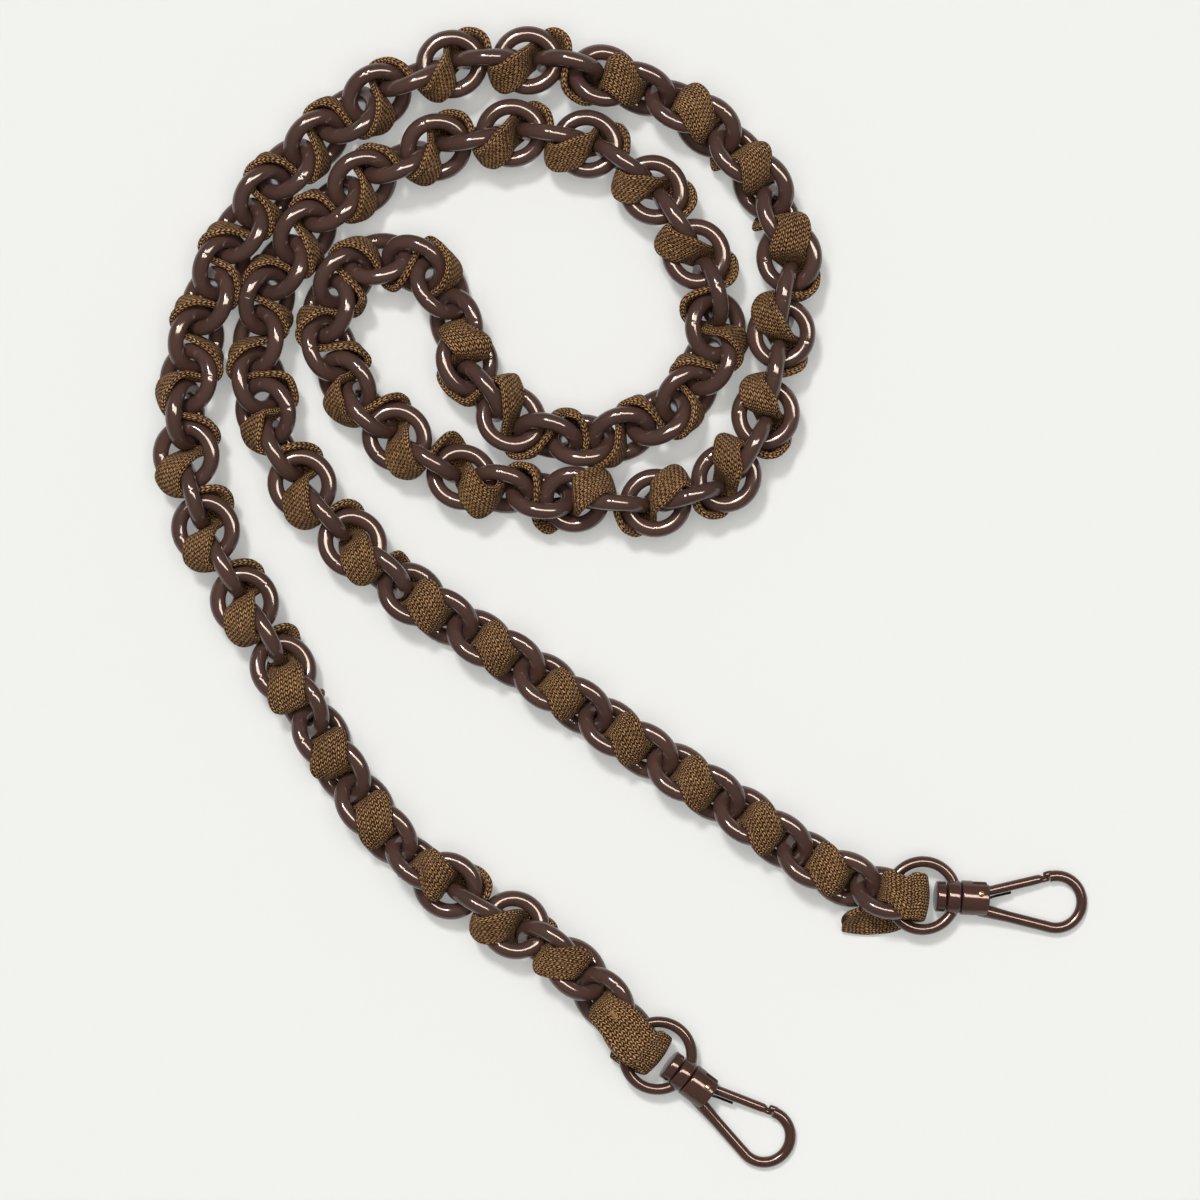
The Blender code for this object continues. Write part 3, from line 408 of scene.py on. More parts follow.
def tube(path, radii, sides=20, side=UP, closed=False):
    """A wire along a path. `side` is a direction that the path never takes."""
    path = np.array(path, float)
    n = len(path)
    before = path[np.arange(n) - 1] if closed else path[np.maximum(np.arange(n) - 1, 0)]
    after = path[(np.arange(n) + 1) % n] if closed else path[np.minimum(np.arange(n) + 1, n - 1)]
    stations = []
    for p, way, r in zip(path, after - before, np.broadcast_to(radii, (n,))):
        way = unit(way)
        one = unit(np.cross(side, way))
        stations.append((p, one, np.cross(way, one), r))
    return round_wire(stations, sides, closed)


def climbing(path, radius, sides):
    """A wire whose path may climb: each cross-section is turned as little as it can be."""
    path = [np.array(p, float) for p in path]
    stations, one = [], None
    for i, p in enumerate(path):
        way = unit(path[min(i + 1, len(path) - 1)] - path[max(i - 1, 0)])
        one = unit(np.cross(UP, way) if one is None else one - np.dot(one, way) * way)
        stations.append((p, one, np.cross(way, one), radius))
    return round_wire(stations, sides, False)


def turned(profile, sides=48):
    """Points and faces of a solid turned about the hook's axis from (out, radius) pairs."""
    points = [(out, r * math.cos(a), r * math.sin(a)) for out, r in profile
              for a in round_angles(sides)]
    return points, grid_faces(len(profile), sides, False)


def rounded(start, end, radius, edge, steps=4):
    """The profile of a turned disc or barrel with rounded edges."""
    angles = np.linspace(0, math.pi / 2, steps + 1)
    front, back = ([(at + edge * (1 - math.sin(a)) * way, radius - edge * (1 - math.cos(a)))
                    for a in angles] for at, way in ((start, 1), (end, -1)))
    return front[::-1] + back


def together(parts):
    """Several (points, faces) pairs as one."""
    points, faces = [], []
    for some, their in parts:
        faces += [tuple(len(points) + i for i in face) for face in their]
        points += list(some)
    return points, faces


def sharpen(obj, degrees):
    """Keeps the edges that turn more than this sharp in the shading."""
    limit = math.radians(degrees)
    bm = bmesh.new()
    bm.from_mesh(obj.data)
    for edge in bm.edges:
        edge.smooth = len(edge.link_faces) == 2 and edge.calc_face_angle(0) < limit
    bm.to_mesh(obj.data)
    bm.free()


def cut(obj, other, operation="DIFFERENCE"):
    modifier = obj.modifiers.new("cut", "BOOLEAN")
    modifier.operation, modifier.solver, modifier.object = operation, "EXACT", other
    graph = bpy.context.evaluated_depsgraph_get()
    mesh = bpy.data.meshes.new_from_object(obj.evaluated_get(graph))
    obj.modifiers.clear()
    obj.data = mesh
    bpy.data.objects.remove(other)
    return obj


def block(low, high, material):
    (x0, y0, z0), (x1, y1, z1) = low, high
    points = [(x, y, z) for x in (x0, x1) for y in (y0, y1) for z in (z0, z1)]
    faces = [(0, 1, 3, 2), (4, 6, 7, 5), (0, 4, 5, 1), (2, 3, 7, 6), (0, 2, 6, 4), (1, 5, 7, 3)]
    return new_piece("cutter", points, faces, material, False)


# materials
def new_material(name):
    material = bpy.data.materials.new(name)
    material.use_nodes = True
    tree = material.node_tree
    return material, tree, tree.nodes["Principled BSDF"]


def add_node(tree, kind, settings=None, inputs=None):
    """Adds one node. Settings are its properties, inputs its sockets by name or number, each a
    value or another node's output."""
    node = tree.nodes.new(kind)
    for key, value in (settings or {}).items():
        setattr(node, key, value)
    for key, value in (inputs or {}).items():
        if isinstance(value, bpy.types.NodeSocket):
            tree.links.new(value, node.inputs[key])
        else:
            node.inputs[key].default_value = value
    return node


def set_shader(shader, **values):
    for name, value in values.items():
        shader.inputs[name.replace("_", " ").title().replace("Ior", "IOR")].default_value = value


def rgba(value):
    return (*value, 1.0)


def shaded(tint, *shares):
    return [c * share for c, share in zip(tint, shares)]


def grain(tree, size, **inputs):
    """A noise through the whole piece, in grains of one size."""
    where = add_node(tree, "ShaderNodeTexCoord").outputs["Object"]
    return add_node(tree, "ShaderNodeTexNoise", {},
                    {"Vector": where, "Scale": 1 / size, **inputs}).outputs[0]


def emboss(tree, shader, height, strength, depth):
    """Relief of a given depth from a height between 0 and 1."""
    bump = add_node(tree, "ShaderNodeBump", {},
                    {"Strength": strength, "Distance": depth, "Height": height})
    tree.links.new(bump.outputs[0], shader.inputs["Normal"])


def uneven_gloss(tree, shader, noise, smooth, rough):
    """A roughness that wanders between two values, over the middle of the noise's reach."""
    reach = add_node(tree, "ShaderNodeMapRange", {}, {0: noise, 1: 0.3, 2: 0.8, 3: smooth, 4: rough})
    tree.links.new(reach.outputs[0], shader.inputs["Roughness"])


def tint_by(tree, shader, value, low, high, *between):
    """A base colour from a ramp of (place, colour) stops: both ends first, then those between."""
    node = add_node(tree, "ShaderNodeValToRGB", {}, {0: value})
    stops = node.color_ramp.elements
    for stop, (place, tint) in zip(list(stops), (low, high)):
        stop.position, stop.color = place, rgba(tint)
    for place, tint in between:
        stops.new(place).color = rgba(tint)
    tree.links.new(node.outputs[0], shader.inputs["Base Color"])


def cast_resin():
    """Cast and tumbled resin: dark brown, a little cloudy inside, with a wet gloss and the faint
    scratches of handling."""
    material, tree, shader = new_material("cast_resin")
    tint = sizes("strap_links").tint
    tint_by(tree, shader, grain(tree, 14 * MM, Detail=3.0),
            (0.3, shaded(tint, 0.86, 0.86, 0.88)), (0.7, shaded(tint, 1.12, 1.1, 1.06)))
    uneven_gloss(tree, shader, grain(tree, 1.2 * MM), 0.09, 0.15)
    emboss(tree, shader, grain(tree, 3.5 * MM, Detail=1.0), 0.18, 0.2 * MM)
    set_shader(shader, ior=1.54)
    return material


def plain_knit():
    """Plain knitting in matt yarn: columns of small V stitches, with a painted highlight where the
    yarn stands up and painted shade, almost black, down between the stitches."""
    # drawn coarser than it is: the real stitches, 1.1 mm by 0.7 mm, are too fine to show
    material, tree, shader = new_material("plain_knit")
    s = sizes("strap_ribbon")
    uv = add_node(tree, "ShaderNodeUVMap", {"uv_map": "knit"}).outputs[0]
    along, around = add_node(tree, "ShaderNodeSeparateXYZ", {}, {0: uv}).outputs[:2]

    def calc(kind, *values):
        node = add_node(tree, "ShaderNodeMath", {"operation": kind}, dict(enumerate(values)))
        return node.outputs[0]

    def sway(scale, much, **inputs):
        noise = add_node(tree, "ShaderNodeTexNoise", {}, {"Vector": uv, "Scale": scale, **inputs})
        return calc("MULTIPLY", calc("SUBTRACT", noise.outputs[0], 0.5), much)

    # the yarn is never quite even, so the stitches wander a little
    wander = sway(0.35, 1.1)
    column = calc("ADD", around, wander)
    side = calc("ABSOLUTE", calc("SUBTRACT", calc("FRACT", column), 0.5))
    # each column is a pile of Vs: the yarn is round over each leg, and lies deep between the legs
    row = calc("ADD", calc("ADD", along, wander), calc("MULTIPLY", side, 1.5))
    across = calc("SINE", calc("MULTIPLY", calc("FRACT", row), math.pi))
    legs = calc("ABSOLUTE", calc("SINE", calc("MULTIPLY", side, 2 * math.pi)))
    body = calc("MULTIPLY", calc("POWER", across, 1.2), calc("POWER", legs, 0.8))
    # one stitch stands prouder than the next
    halves = calc("FLOOR", calc("MULTIPLY", column, 2.0))
    cell = add_node(tree, "ShaderNodeCombineXYZ", {}, {0: calc("FLOOR", row), 1: halves})
    proud = add_node(tree, "ShaderNodeTexWhiteNoise", {"noise_dimensions": "2D"},
                     {"Vector": cell.outputs[0]})
    uneven = calc("ADD", 0.75, calc("MULTIPLY", proud.outputs[0], 0.5))
    fluff = sway(2.6, 0.35, Detail=3.0, Roughness=0.7)
    height = calc("ADD", calc("MULTIPLY", body, uneven), fluff)
    # the colour follows the height: painted light where the yarn stands up, painted shade, near black,
    # down between the stitches, and a darker copy of the lit yarn as painted half shade between them;
    # and some patches of the yarn are paler
    painted_light_shade_and_tone = calc("ADD", height, sway(0.12, 0.3))
    tint_by(tree, shader, painted_light_shade_and_tone, (0.2, s.dark), (0.95, s.light),
            (0.55, shaded(s.light, 0.4, 0.33, 0.26)))
    emboss(tree, shader, height, 1.0, 0.4 * MM)
    set_shader(shader, roughness=0.85, ior=1.45, sheen_weight=0.02, specular_ior_level=0.15)
    return material


def sewing_thread():
    """Twisted polyester thread: pale, a little shiny, with its strands showing."""
    material, tree, shader = new_material("sewing_thread")
    emboss(tree, shader, grain(tree, 0.25 * MM), 0.5, 0.08 * MM)
    set_shader(shader, base_color=rgba(sizes("strap_ribbon").bar), roughness=0.5)
    return material


def gloss_enamel(name="gloss_enamel", level=1.0):
    """Die-cast zinc under sprayed gloss enamel: an even dark brown with a soft orange peel."""
    material, tree, shader = new_material(name)
    tint = sizes("strap_hooks").tint
    tint_by(tree, shader, grain(tree, 7 * MM),
            (0.35, [c * 0.9 * level for c in tint]), (0.65, [c * 1.1 * level for c in tint]))
    peel = grain(tree, 0.7 * MM)
    emboss(tree, shader, peel, 0.04, 0.1 * MM)
    uneven_gloss(tree, shader, peel, 0.1, 0.17)
    set_shader(shader, ior=1.5, metallic=0.1)
    return material


def pin_highlight_metal():
    """The punched ends of the pins: a pale warm metal, paler than the enamel as a painted highlight,
    the small bright ring on each pin.
    """
    material, tree, shader = new_material("pin_highlight_metal")
    uneven_gloss(tree, shader, grain(tree, 0.3 * MM), 0.2, 0.4)
    set_shader(shader, base_color=rgba(sizes("strap_hooks").pin_highlight_tint), metallic=0.7)
    return material


def spring_steel():
    """Drawn spring wire, blackened in oil: fine draw marks and a dull metal shine."""
    material, tree, shader = new_material("spring_steel")
    uneven_gloss(tree, shader, grain(tree, 0.4 * MM), 0.3, 0.5)
    set_shader(shader, base_color=rgba(sizes("strap_hooks").steel), metallic=0.9)
    return material


def lit_sheet():
    """A matt translucent sheet, lit a little from below as a photographer's table is: an even, warm
    off-white that keeps the shadows light."""
    material, tree, shader = new_material("lit_sheet")
    s = sizes("strap_stage")
    emboss(tree, shader, grain(tree, 0.6 * MM), 0.02, 0.05 * MM)
    # the glow shows to the eye and in the gloss, and lights nothing
    rays = add_node(tree, "ShaderNodeLightPath").outputs
    seen = add_node(tree, "ShaderNodeMath", {"operation": "MAXIMUM"},
                    {0: rays["Is Camera Ray"], 1: rays["Is Glossy Ray"]})
    glow = add_node(tree, "ShaderNodeMath", {"operation": "MULTIPLY"}, {0: seen.outputs[0], 1: s.glow})
    tree.links.new(glow.outputs[0], shader.inputs["Emission Strength"])
    set_shader(shader, base_color=rgba(s.paper), emission_color=rgba(s.lit), roughness=0.95,
               specular_ior_level=0.1)
    return material


# the resin links
SEAM_AT_SHARE = 0.27  # where round the link its seam lies
SEAM_DEPTH_SHARE = 0.03
LINK_SIDES = 24


def link_mesh(link, steps, seam):
    """One smooth link, with the fine groove of the joint where it was closed."""
    chain, whole = link.chain, 2 * math.pi
    at = SEAM_AT_SHARE * whole * (1 if link.j % 3 else -1)
    half = seam / chain.half_wide / 2

    def from_seam(beta):
        return np.abs((beta - at + math.pi) % whole - math.pi)

    beta = round_angles(steps)
    beta = beta[from_seam(beta) > 3 * half]
    beta = np.sort(np.concatenate([beta, (at + half * np.array((-2, 0, 2))) % whole]))
    stations = []
    for centre, b, low in zip(link.at(beta), beta, from_seam(beta) < half / 2):
        out = unit(math.cos(b) / chain.half_long * link.ahead
                   + math.sin(b) / chain.half_wide * link.across)
        stations.append((centre, out, link.normal,
                         chain.wire_r * (1 - (SEAM_DEPTH_SHARE if low else 0))))
    return round_wire(stations, LINK_SIDES, True)


class STRAP_OT_links(bpy.types.Operator):
    """Makes the chain's smooth resin links in place of their faceted solids"""
    bl_idname = "strap.links"
    bl_label = "Resin links"

    def execute(self, context):
        chain = Chain()
        s, steps = sizes("strap_links"), sizes("strap_stage").steps
        resin = cast_resin()
        for number in range(1, LINK_COUNT // LINKS_PER_GROUP + 1):
            members = range(LINKS_PER_GROUP * (number - 1) + 1, LINKS_PER_GROUP * number + 1)
            node = f"links_{number:02d}"
            obj = new_piece(f"resin_{node}", *together(
                [link_mesh(chain.links[j], steps, s.seam) for j in members]), resin)
            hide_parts(node)
            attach(obj, "strap")
        return {"FINISHED"}


# the swivel hooks
HOOKS = ("a", "b")
GATE_MEETS_DEG = -108  # where round the nose the gate ends
ARM_MEETS_DEG = 104  # and where the fixed arm starts
EDGE_SHARE = 0.12  # rounding of a turned edge, as a share of its radius
RIVET_EDGE_SHARE, SHANK_SHARE = 0.1, 0.33  # of the rivet's head
ARM_IN, ARM_SIDE = 2.0 * MM, 2.9 * MM  # the arm starts this deep in the barrel, and to this side
ARM_ROOT_SHARES = np.linspace(1.25, 1.0, 6)  # its wire tapers where it leaves the barrel
SLOT_IN, SLOT_SIDE, SLOT_AIR = 2.0 * MM, 1.2 * MM, 0.3 * MM  # the slot that the gate turns in
# the lip shuts over the gate's end: how far along the gate's line, and how thick
LIP_ALONG = np.array((-1.5, -1.3, -0.6, 0.4, 1.2)) * MM
LIP_SHARES = np.array((0.275, 0.55, 0.605, 0.605, 0.44))
# the gate's bar: stations as shares of its length, then round its tip as shares of its radius
GATE_SHARES = (0, 0.1, 0.5, 0.86)
GATE_TIP_SHARES = (-1, -0.6, -0.25, 0, 0.3)
GATE_THICK_SHARES = np.array((1.02, 1.0, 1.03, 1.02, 1.0, 0.93, 0.75, 0.5, 0.42))
TONGUE = 1.8 * MM  # how far the thin tongue goes on past the bar
TONGUE_ENDS = (0.5 * MM, 0.3 * MM)  # short of the nose's end
TONGUE_THICK_SHARES = np.array((0.5, 0.5, 0.5, 0.36))
TONGUE_SIDE_SHARE = 0.42
EYE_RADIUS = 1.7 * MM
# the pin's punched end: shares of its radius, and how far out in mm
PIN_PROUD = 0.25 * MM
PIN_RIM = ((0.3, -0.45), (0.5, -0.35), (0.64, 0.0), (0.88, 0.02), (1.0, -0.12), (1.0, -0.5))
SPRING_ARC_DEG = (-300, -60)
SPRING_AIR, LEG_AIR = 0.2 * MM, 0.15 * MM  # round the pin, and beside the gate
LEG_START, LEG_END = 2.0 * MM, 6.0 * MM  # where the spring's leg lies along the gate


class Hook:
    """One hook's own directions and places: x out of the chain, y to the right, z up."""

    def __init__(self, which):
        s = sizes("strap_hooks")
        joints = {j["name"]: j for j in frame["joints"]}
        swing, swivel = joints[f"ring_swing_{which}"], joints[f"hook_swivel_{which}"]
        gate = joints[f"gate_opens_{which}"]
        self.ring_r = s.ring_wire / 2
        self.line = s.ring_outside / 2 - self.ring_r
        x, y = unit(np.array(swivel["axis"])), unit(np.array(swing["axis"]))
        z = -unit(np.array(gate["axis"]))
        centre = np.array(swing["pos_m"]) + self.line * x
        self.matrix = Matrix([[x[i], y[i], z[i], centre[i]] for i in range(3)] + [[0, 0, 0, 1]])
        self.swing = swing
        self.boss_end = self.line + self.ring_r / 2
        self.boss_start = self.boss_end - s.boss_long
        self.head_end = self.boss_start - s.turn_gap
        self.barrel_start = self.boss_end + s.turn_gap
        self.barrel_end = self.barrel_start + s.barrel_long
        self.pin = np.array((self.barrel_start + s.pin_out, -s.pin_side, 0.0))
        meets = math.radians(GATE_MEETS_DEG)
        self.gate_end = np.array((s.nose_out + s.nose_radius * math.cos(meets),
                                  s.nose_radius * math.sin(meets), 0.0))
        self.along = unit(self.gate_end - self.pin)
        self.inside = np.array((-self.along[1], self.along[0], 0.0))
        self.which = which

    def place(self, obj, node, body, slot):
        """Turns a piece made in the hook's own frame into the world and hangs it on its body."""
        obj.data.transform(self.matrix)
        if self.matrix.determinant() < 0:
            obj.data.flip_normals()
        obj.name = f"{obj.name}_{self.which}"
        if node:
            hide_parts(f"{node}_{self.which}")
        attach(obj, f"{body}_{self.which}")


class STRAP_OT_rings(bpy.types.Operator):
    """Makes both swivel rings: a round ring with the boss that the rivet turns in"""
    bl_idname = "strap.rings"
    bl_label = "Swivel rings"

    def execute(self, context):
        s = sizes("strap_hooks")
        enamel = gloss_enamel()
        head_room = s.head_radius + s.turn_gap
        for which in HOOKS:
            hook = Hook(which)
            angles = round_angles(72)
            circle = np.stack([hook.line * np.cos(angles), hook.line * np.sin(angles), 0 * angles], 1)
            ring = new_piece("swivel_ring_cast", *tube(circle, hook.ring_r, 24, closed=True), enamel)
            boss = new_piece("boss", *turned(rounded(
                hook.boss_start, hook.boss_end, s.boss_radius, s.boss_radius * EDGE_SHARE)), enamel)
            # the ring's wire is hollowed for the rivet's head before the boss is joined to it
            cut(ring, new_piece("room", *turned([
                (hook.boss_start - s.head_thick - s.turn_gap, head_room),
                (hook.boss_start, head_room)]), enamel))
            cut(ring, new_piece("trim", *turned([
                (hook.boss_end, 2 * s.boss_radius), (hook.barrel_end, 2 * s.boss_radius)]), enamel))
            cut(ring, boss, "UNION")
            sharpen(ring, 35)
            hook.place(ring, "swivel_ring", "ring", "hooks")
        return {"FINISHED"}


class STRAP_OT_rivets(bpy.types.Operator):
    """Makes both swivel rivets: a domed head inside the ring on a shank that ends in the barrel"""
    bl_idname = "strap.rivets"
    bl_label = "Swivel rivets"

    def execute(self, context):
        s = sizes("strap_hooks")
        enamel = gloss_enamel("gloss_enamel_rivet", 0.92)
        for which in HOOKS:
            hook = Hook(which)
            r = s.head_radius
            head = rounded(hook.head_end - s.head_thick, hook.head_end, r, r * RIVET_EDGE_SHARE)
            shank = [(hook.head_end, r * SHANK_SHARE),
                     (hook.barrel_start + s.turn_gap, r * SHANK_SHARE)]
            obj = new_piece("rivet", *turned(head + shank), enamel)
            sharpen(obj, 50)
            hook.place(obj, "swivel_post", "hook", "hooks")
        return {"FINISHED"}


def hook_line(hook, s):
    """The middle of the hook's wire: out of the barrel, up the fixed arm and round the nose."""
    start = np.array((hook.barrel_end - ARM_IN, ARM_SIDE, 0.0))
    arc = [(s.nose_out + s.nose_radius * math.cos(a), s.nose_radius * math.sin(a), 0.0)
           for a in np.radians(np.linspace(ARM_MEETS_DEG, GATE_MEETS_DEG, 49))]
    arm = [start + (np.array(arc[0]) - start) * t for t in np.linspace(0, 1, 13)[:-1]]
    return arm + arc


class STRAP_OT_hook_bodies(bpy.types.Operator):
    """Makes both hook castings: the slotted barrel, the fixed arm and the round nose with its lip"""
    bl_idname = "strap.hook_bodies"
    bl_label = "Hook castings"

    def execute(self, context):
        s = sizes("strap_hooks")
        enamel = gloss_enamel("gloss_enamel_hook")
        for which in HOOKS:
            hook = Hook(which)
            casting = new_piece("hook_casting", *turned(rounded(
                hook.barrel_start, hook.barrel_end, s.barrel_radius, s.barrel_radius * EDGE_SHARE)),
                enamel)
            line = hook_line(hook, s)
            r = s.wire / 2
            radii = np.full(len(line), r)
            radii[:len(ARM_ROOT_SHARES)] *= ARM_ROOT_SHARES
            arm = new_piece("arm", *tube(line, radii, 28), enamel)
            half = s.gate_thick / 2 + SLOT_AIR
            cut(casting, block((hook.pin[0] - SLOT_IN, -2 * s.barrel_radius, -half),
                               (2 * hook.barrel_end, SLOT_SIDE, half + SLOT_AIR + s.spring_wire),
                               enamel))
            cut(casting, arm, "UNION")
            sharpen(casting, 40)
            hook.place(casting, "hook_body", "hook", "hooks")
            # the lip at the end of the nose, which the gate's tongue shuts against
            centre = hook.gate_end - hook.inside * r * 0.5
            lip = new_piece("nose_lip", *tube([centre + hook.along * t for t in LIP_ALONG],
                                              LIP_SHARES * r, 16), enamel)
            hook.place(lip, None, "hook", "hooks")
        return {"FINISHED"}


class STRAP_OT_gates(bpy.types.Operator):
    """Makes both gates: an eye on the pin, a round bar and a thin tongue under the nose's lip"""
    bl_idname = "strap.gates"
    bl_label = "Gates"

    def execute(self, context):
        s = sizes("strap_hooks")
        enamel = gloss_enamel("gloss_enamel_gate", 1.05)
        r = s.gate_thick / 2
        for which in HOOKS:
            hook = Hook(which)
            long = float(np.linalg.norm(hook.gate_end - hook.pin))
            end = long - TONGUE
            stations = ([end * share for share in GATE_SHARES]
                        + [end + r * share for share in GATE_TIP_SHARES])
            bar = new_piece("gate_bar", *tube([hook.pin + hook.along * t for t in stations],
                                              GATE_THICK_SHARES * r, 24), enamel)
            eye = new_piece("eye", *tube([hook.pin + UP * z for z in (-r, -0.9 * r, 0.9 * r, r)],
                                         np.array((0.9, 1, 1, 0.9)) * EYE_RADIUS, 32, hook.along),
                            enamel)
            cut(bar, eye, "UNION")
            tongue = [hook.pin + hook.along * t + hook.inside * r * TONGUE_SIDE_SHARE
                      for t in (end - r, end, *(long - short for short in TONGUE_ENDS))]
            cut(bar, new_piece("tongue", *tube(tongue, TONGUE_THICK_SHARES * r, 16), enamel), "UNION")
            sharpen(bar, 40)
            hook.place(bar, "gate", "gate", "hooks")
        return {"FINISHED"}


class STRAP_OT_pins(bpy.types.Operator):
    """Makes both gate pins, with their small domed heads on the barrel"""
    bl_idname = "strap.pins"
    bl_label = "Gate pins"

    def execute(self, context):
        s = sizes("strap_hooks")
        metal = pin_highlight_metal()
        tall = math.sqrt(s.barrel_radius**2 - s.pin_side**2) + PIN_PROUD
        # each end was punched, which left a rolled rim round a dimple
        ends = [(share * s.pin_radius, tall + out * MM) for share, out in PIN_RIM]
        stations = [(radius, -z) for radius, z in ends] + ends[::-1]
        for which in HOOKS:
            hook = Hook(which)
            obj = new_piece("pin_rod", *tube([hook.pin + UP * z for _, z in stations],
                                             [radius for radius, _ in stations], 24,
                                             np.array((1.0, 0, 0))), metal)
            sharpen(obj, 70)
            hook.place(obj, "gate_pin", "hook", "hooks")
        return {"FINISHED"}


class STRAP_OT_springs(bpy.types.Operator):
    """Makes both gate springs: a turn of wire round the pin and a leg along the gate"""
    bl_idname = "strap.springs"
    bl_label = "Gate springs"

    def execute(self, context):
        s = sizes("strap_hooks")
        steel = spring_steel()
        r = s.spring_wire / 2
        loop = s.pin_radius + SPRING_AIR + r
        rise = (s.gate_thick / 2 + SLOT_AIR + r) * UP
        for which in HOOKS:
            hook = Hook(which)
            way, inside = hook.along, hook.inside
            path = [hook.pin + loop * (math.cos(a) * way + math.sin(a) * inside) + rise
                    for a in np.radians(np.linspace(*SPRING_ARC_DEG, 21))]
            # over the gate's side, down beside it and along it
            beside = hook.pin + (s.gate_thick / 2 + LEG_AIR + r) * inside
            corner = beside + (LEG_START + r) * way + rise
            down = corner - rise + 2 * s.spring_wire * way
            path += [corner + (down - corner) * t for t in (0, 0.3, 0.7, 1.0)]
            path.append(beside + (LEG_START + r + LEG_END) * way)
            obj = new_piece("spring_wire", *climbing(path, r, 12), steel)
            hook.place(obj, "gate_spring", "gate", "springs")
        return {"FINISHED"}


# the knitted ribbon
def hermite(p0, d0, p1, d1, s):
    return ((2 * s**3 - 3 * s**2 + 1) * p0 + (s**3 - 2 * s**2 + s) * d0
            + (-2 * s**3 + 3 * s**2) * p1 + (s**3 - s**2) * d1)


class Ribbon:
    """The ribbon's cross-sections: centre, direction of its width, half its width, route number."""

    def __init__(self, chain):
        self.chain, self.s = chain, sizes("strap_ribbon")
        self.hooks = {which: Hook(which) for which in HOOKS}
        self.rows = []
        self.lay()
        self.relax()

    def sides(self):
        chain, sides = self.chain, {}
        least = math.sin(math.radians(LEAST_FROM_LINK_DEG))
        for k in range(LINK_COUNT + 1):
            before, after = chain.links[max(k, 1)], chain.links[min(k + 1, LINK_COUNT)]
            _, ahead, left = chain.frame_at((before.u + after.u) / 2, k + 0.5)
            wanted = (90 if k % 2 == 0 or k == LINK_COUNT else 270) - in_table(RIBBON_ROLL, k)
            crosses = 0 < k < LINK_COUNT
            for turn in (sign * step for step in range(0, 181, SEEK_STEP_DEG) for sign in (1, -1)):
                angle = math.radians(wanted + turn)
                side = math.cos(angle) * left + math.sin(angle) * UP
                clear = all(abs(np.dot(side, link.normal)) >= least for link in (before, after))
                over = not crosses or np.dot(side, before.normal) * np.dot(
                    sides[k - 1][0], before.normal) < 0
                if clear and over:
                    sides[k] = (side, ahead)
                    break
        return sides

    def arch(self, k, side, ahead):
        chain, s = self.chain, self.s
        before, after = chain.links[max(k, 1)], chain.links[min(k + 1, LINK_COUNT)]
        middle = (before.centre + after.centre) / 2
        if k == 0:
            middle = after.centre - after.ahead * chain.taut / 2
        if k == LINK_COUNT:
            middle = before.centre + before.ahead * chain.taut / 2
        half = chain.half_wide * math.sqrt(1 - (chain.taut / 2 / chain.half_long) ** 2)
        lean = max(abs(np.dot(before.across, side)), abs(np.dot(after.across, side)))
        height = half * lean + chain.wire_r + s.gap + s.thick / 2
        return middle + height * side, np.cross(side, ahead)

    def shoulder(self, link, way, top, ahead):
        leaves = way * HOLE_PULL_SHARE * np.linalg.norm(top - link.centre)
        lands = ahead * ARCH_PULL_SHARE * abs(np.dot(top - link.centre, ahead))
        return hermite(link.centre, leaves, top, lands, SHOULDER_SHARE)

    def add(self, p, w, half, u):
        if self.rows and np.dot(self.rows[-1][1], w) < 0:
            w = -w
        self.rows.append([np.array(p), unit(w), half, u])

    def lay(self):
        links, s = self.chain.links, self.s
        sides = self.sides()
        wide, tight = s.wide / 2, s.narrow / 2
        tops = {k: self.arch(k, *sides[k]) for k in sides}
        for k in range(LINK_COUNT + 1):
            (side, ahead), (top, width) = sides[k], tops[k]
            if 0 < k < LINK_COUNT:
                link = links[k]
                way = link.normal * (
                    1 if np.dot(side - sides[k - 1][0], link.normal) > 0 else -1)
                self.add(link.centre, link.across, tight, k - 0.5)
                same = 1 if np.dot(width, self.rows[-1][1]) > 0 else -1
                self.add(self.shoulder(link, way, top, ahead), self.rows[-1][1] + width * same,
                         (wide + tight) / 2, k - 0.25)
            elif k:
                last_top, last_width = tops[k - 1]
                same = 1 if np.dot(width, last_width) > 0 else -1
                self.add((last_top + top) / 2 + side * s.thick, last_width + width * same, wide,
                         k - 0.5)
            self.add(top, width, wide, k)
            if k + 1 < LINK_COUNT:
                link = links[k + 1]
                way = link.normal * (
                    1 if np.dot(sides[k + 1][0] - side, link.normal) > 0 else -1)
                across = link.across * (1 if np.dot(self.rows[-1][1], link.across) > 0 else -1)
                self.add(self.shoulder(link, -way, top, -ahead), across + self.rows[-1][1],
                         (wide + tight) / 2, k + 0.25)
        self.rows = (self.fold("a", self.rows[0])[::-1] + self.rows + self.fold("b", self.rows[-1]))

    def fold(self, which, last):
        hook, rows, width = self.hooks[which], [], last[1]
        axes = np.array(hook.matrix)[:3, :3]
        for out, right, up, lean in FOLD_SHARES[which]:
            p = np.array(hook.matrix @ Vector(np.array((out, right, up)) * hook.line))
            a = math.radians(lean)
            w = axes @ np.array((0.0, math.cos(a), -math.sin(a)))
            width = -w if np.dot(w, width) < 0 else w
            rows.append([p, width, self.s.wide / 2, last[3]])
        return rows

    def circles(self):
        """The middle line of each ring's wire, where the ring lies."""
        angles = round_angles(RING_POINTS)
        out = {}
        for which, hook in self.hooks.items():
            circle = hook.line * np.stack([np.cos(angles), np.sin(angles), 0 * angles], 1)
            m = np.array(hook.matrix)
            out[which] = circle @ m[:3, :3].T + m[:3, 3]
        return out

    def swung(self):
        """The rings' middle lines where the rings swing to, up and down."""
        out = []
        for which, circle in self.circles().items():
            swing = self.hooks[which].swing
            low, high = swing["range_deg"]
            for share in SWING_SHARES:
                angle = math.radians(low + share * (high - low))
                turn = np.array(Matrix.Rotation(angle, 3, Vector(swing["axis"])))
                out.append((circle - swing["pos_m"]) @ turn.T + swing["pos_m"])
        return out

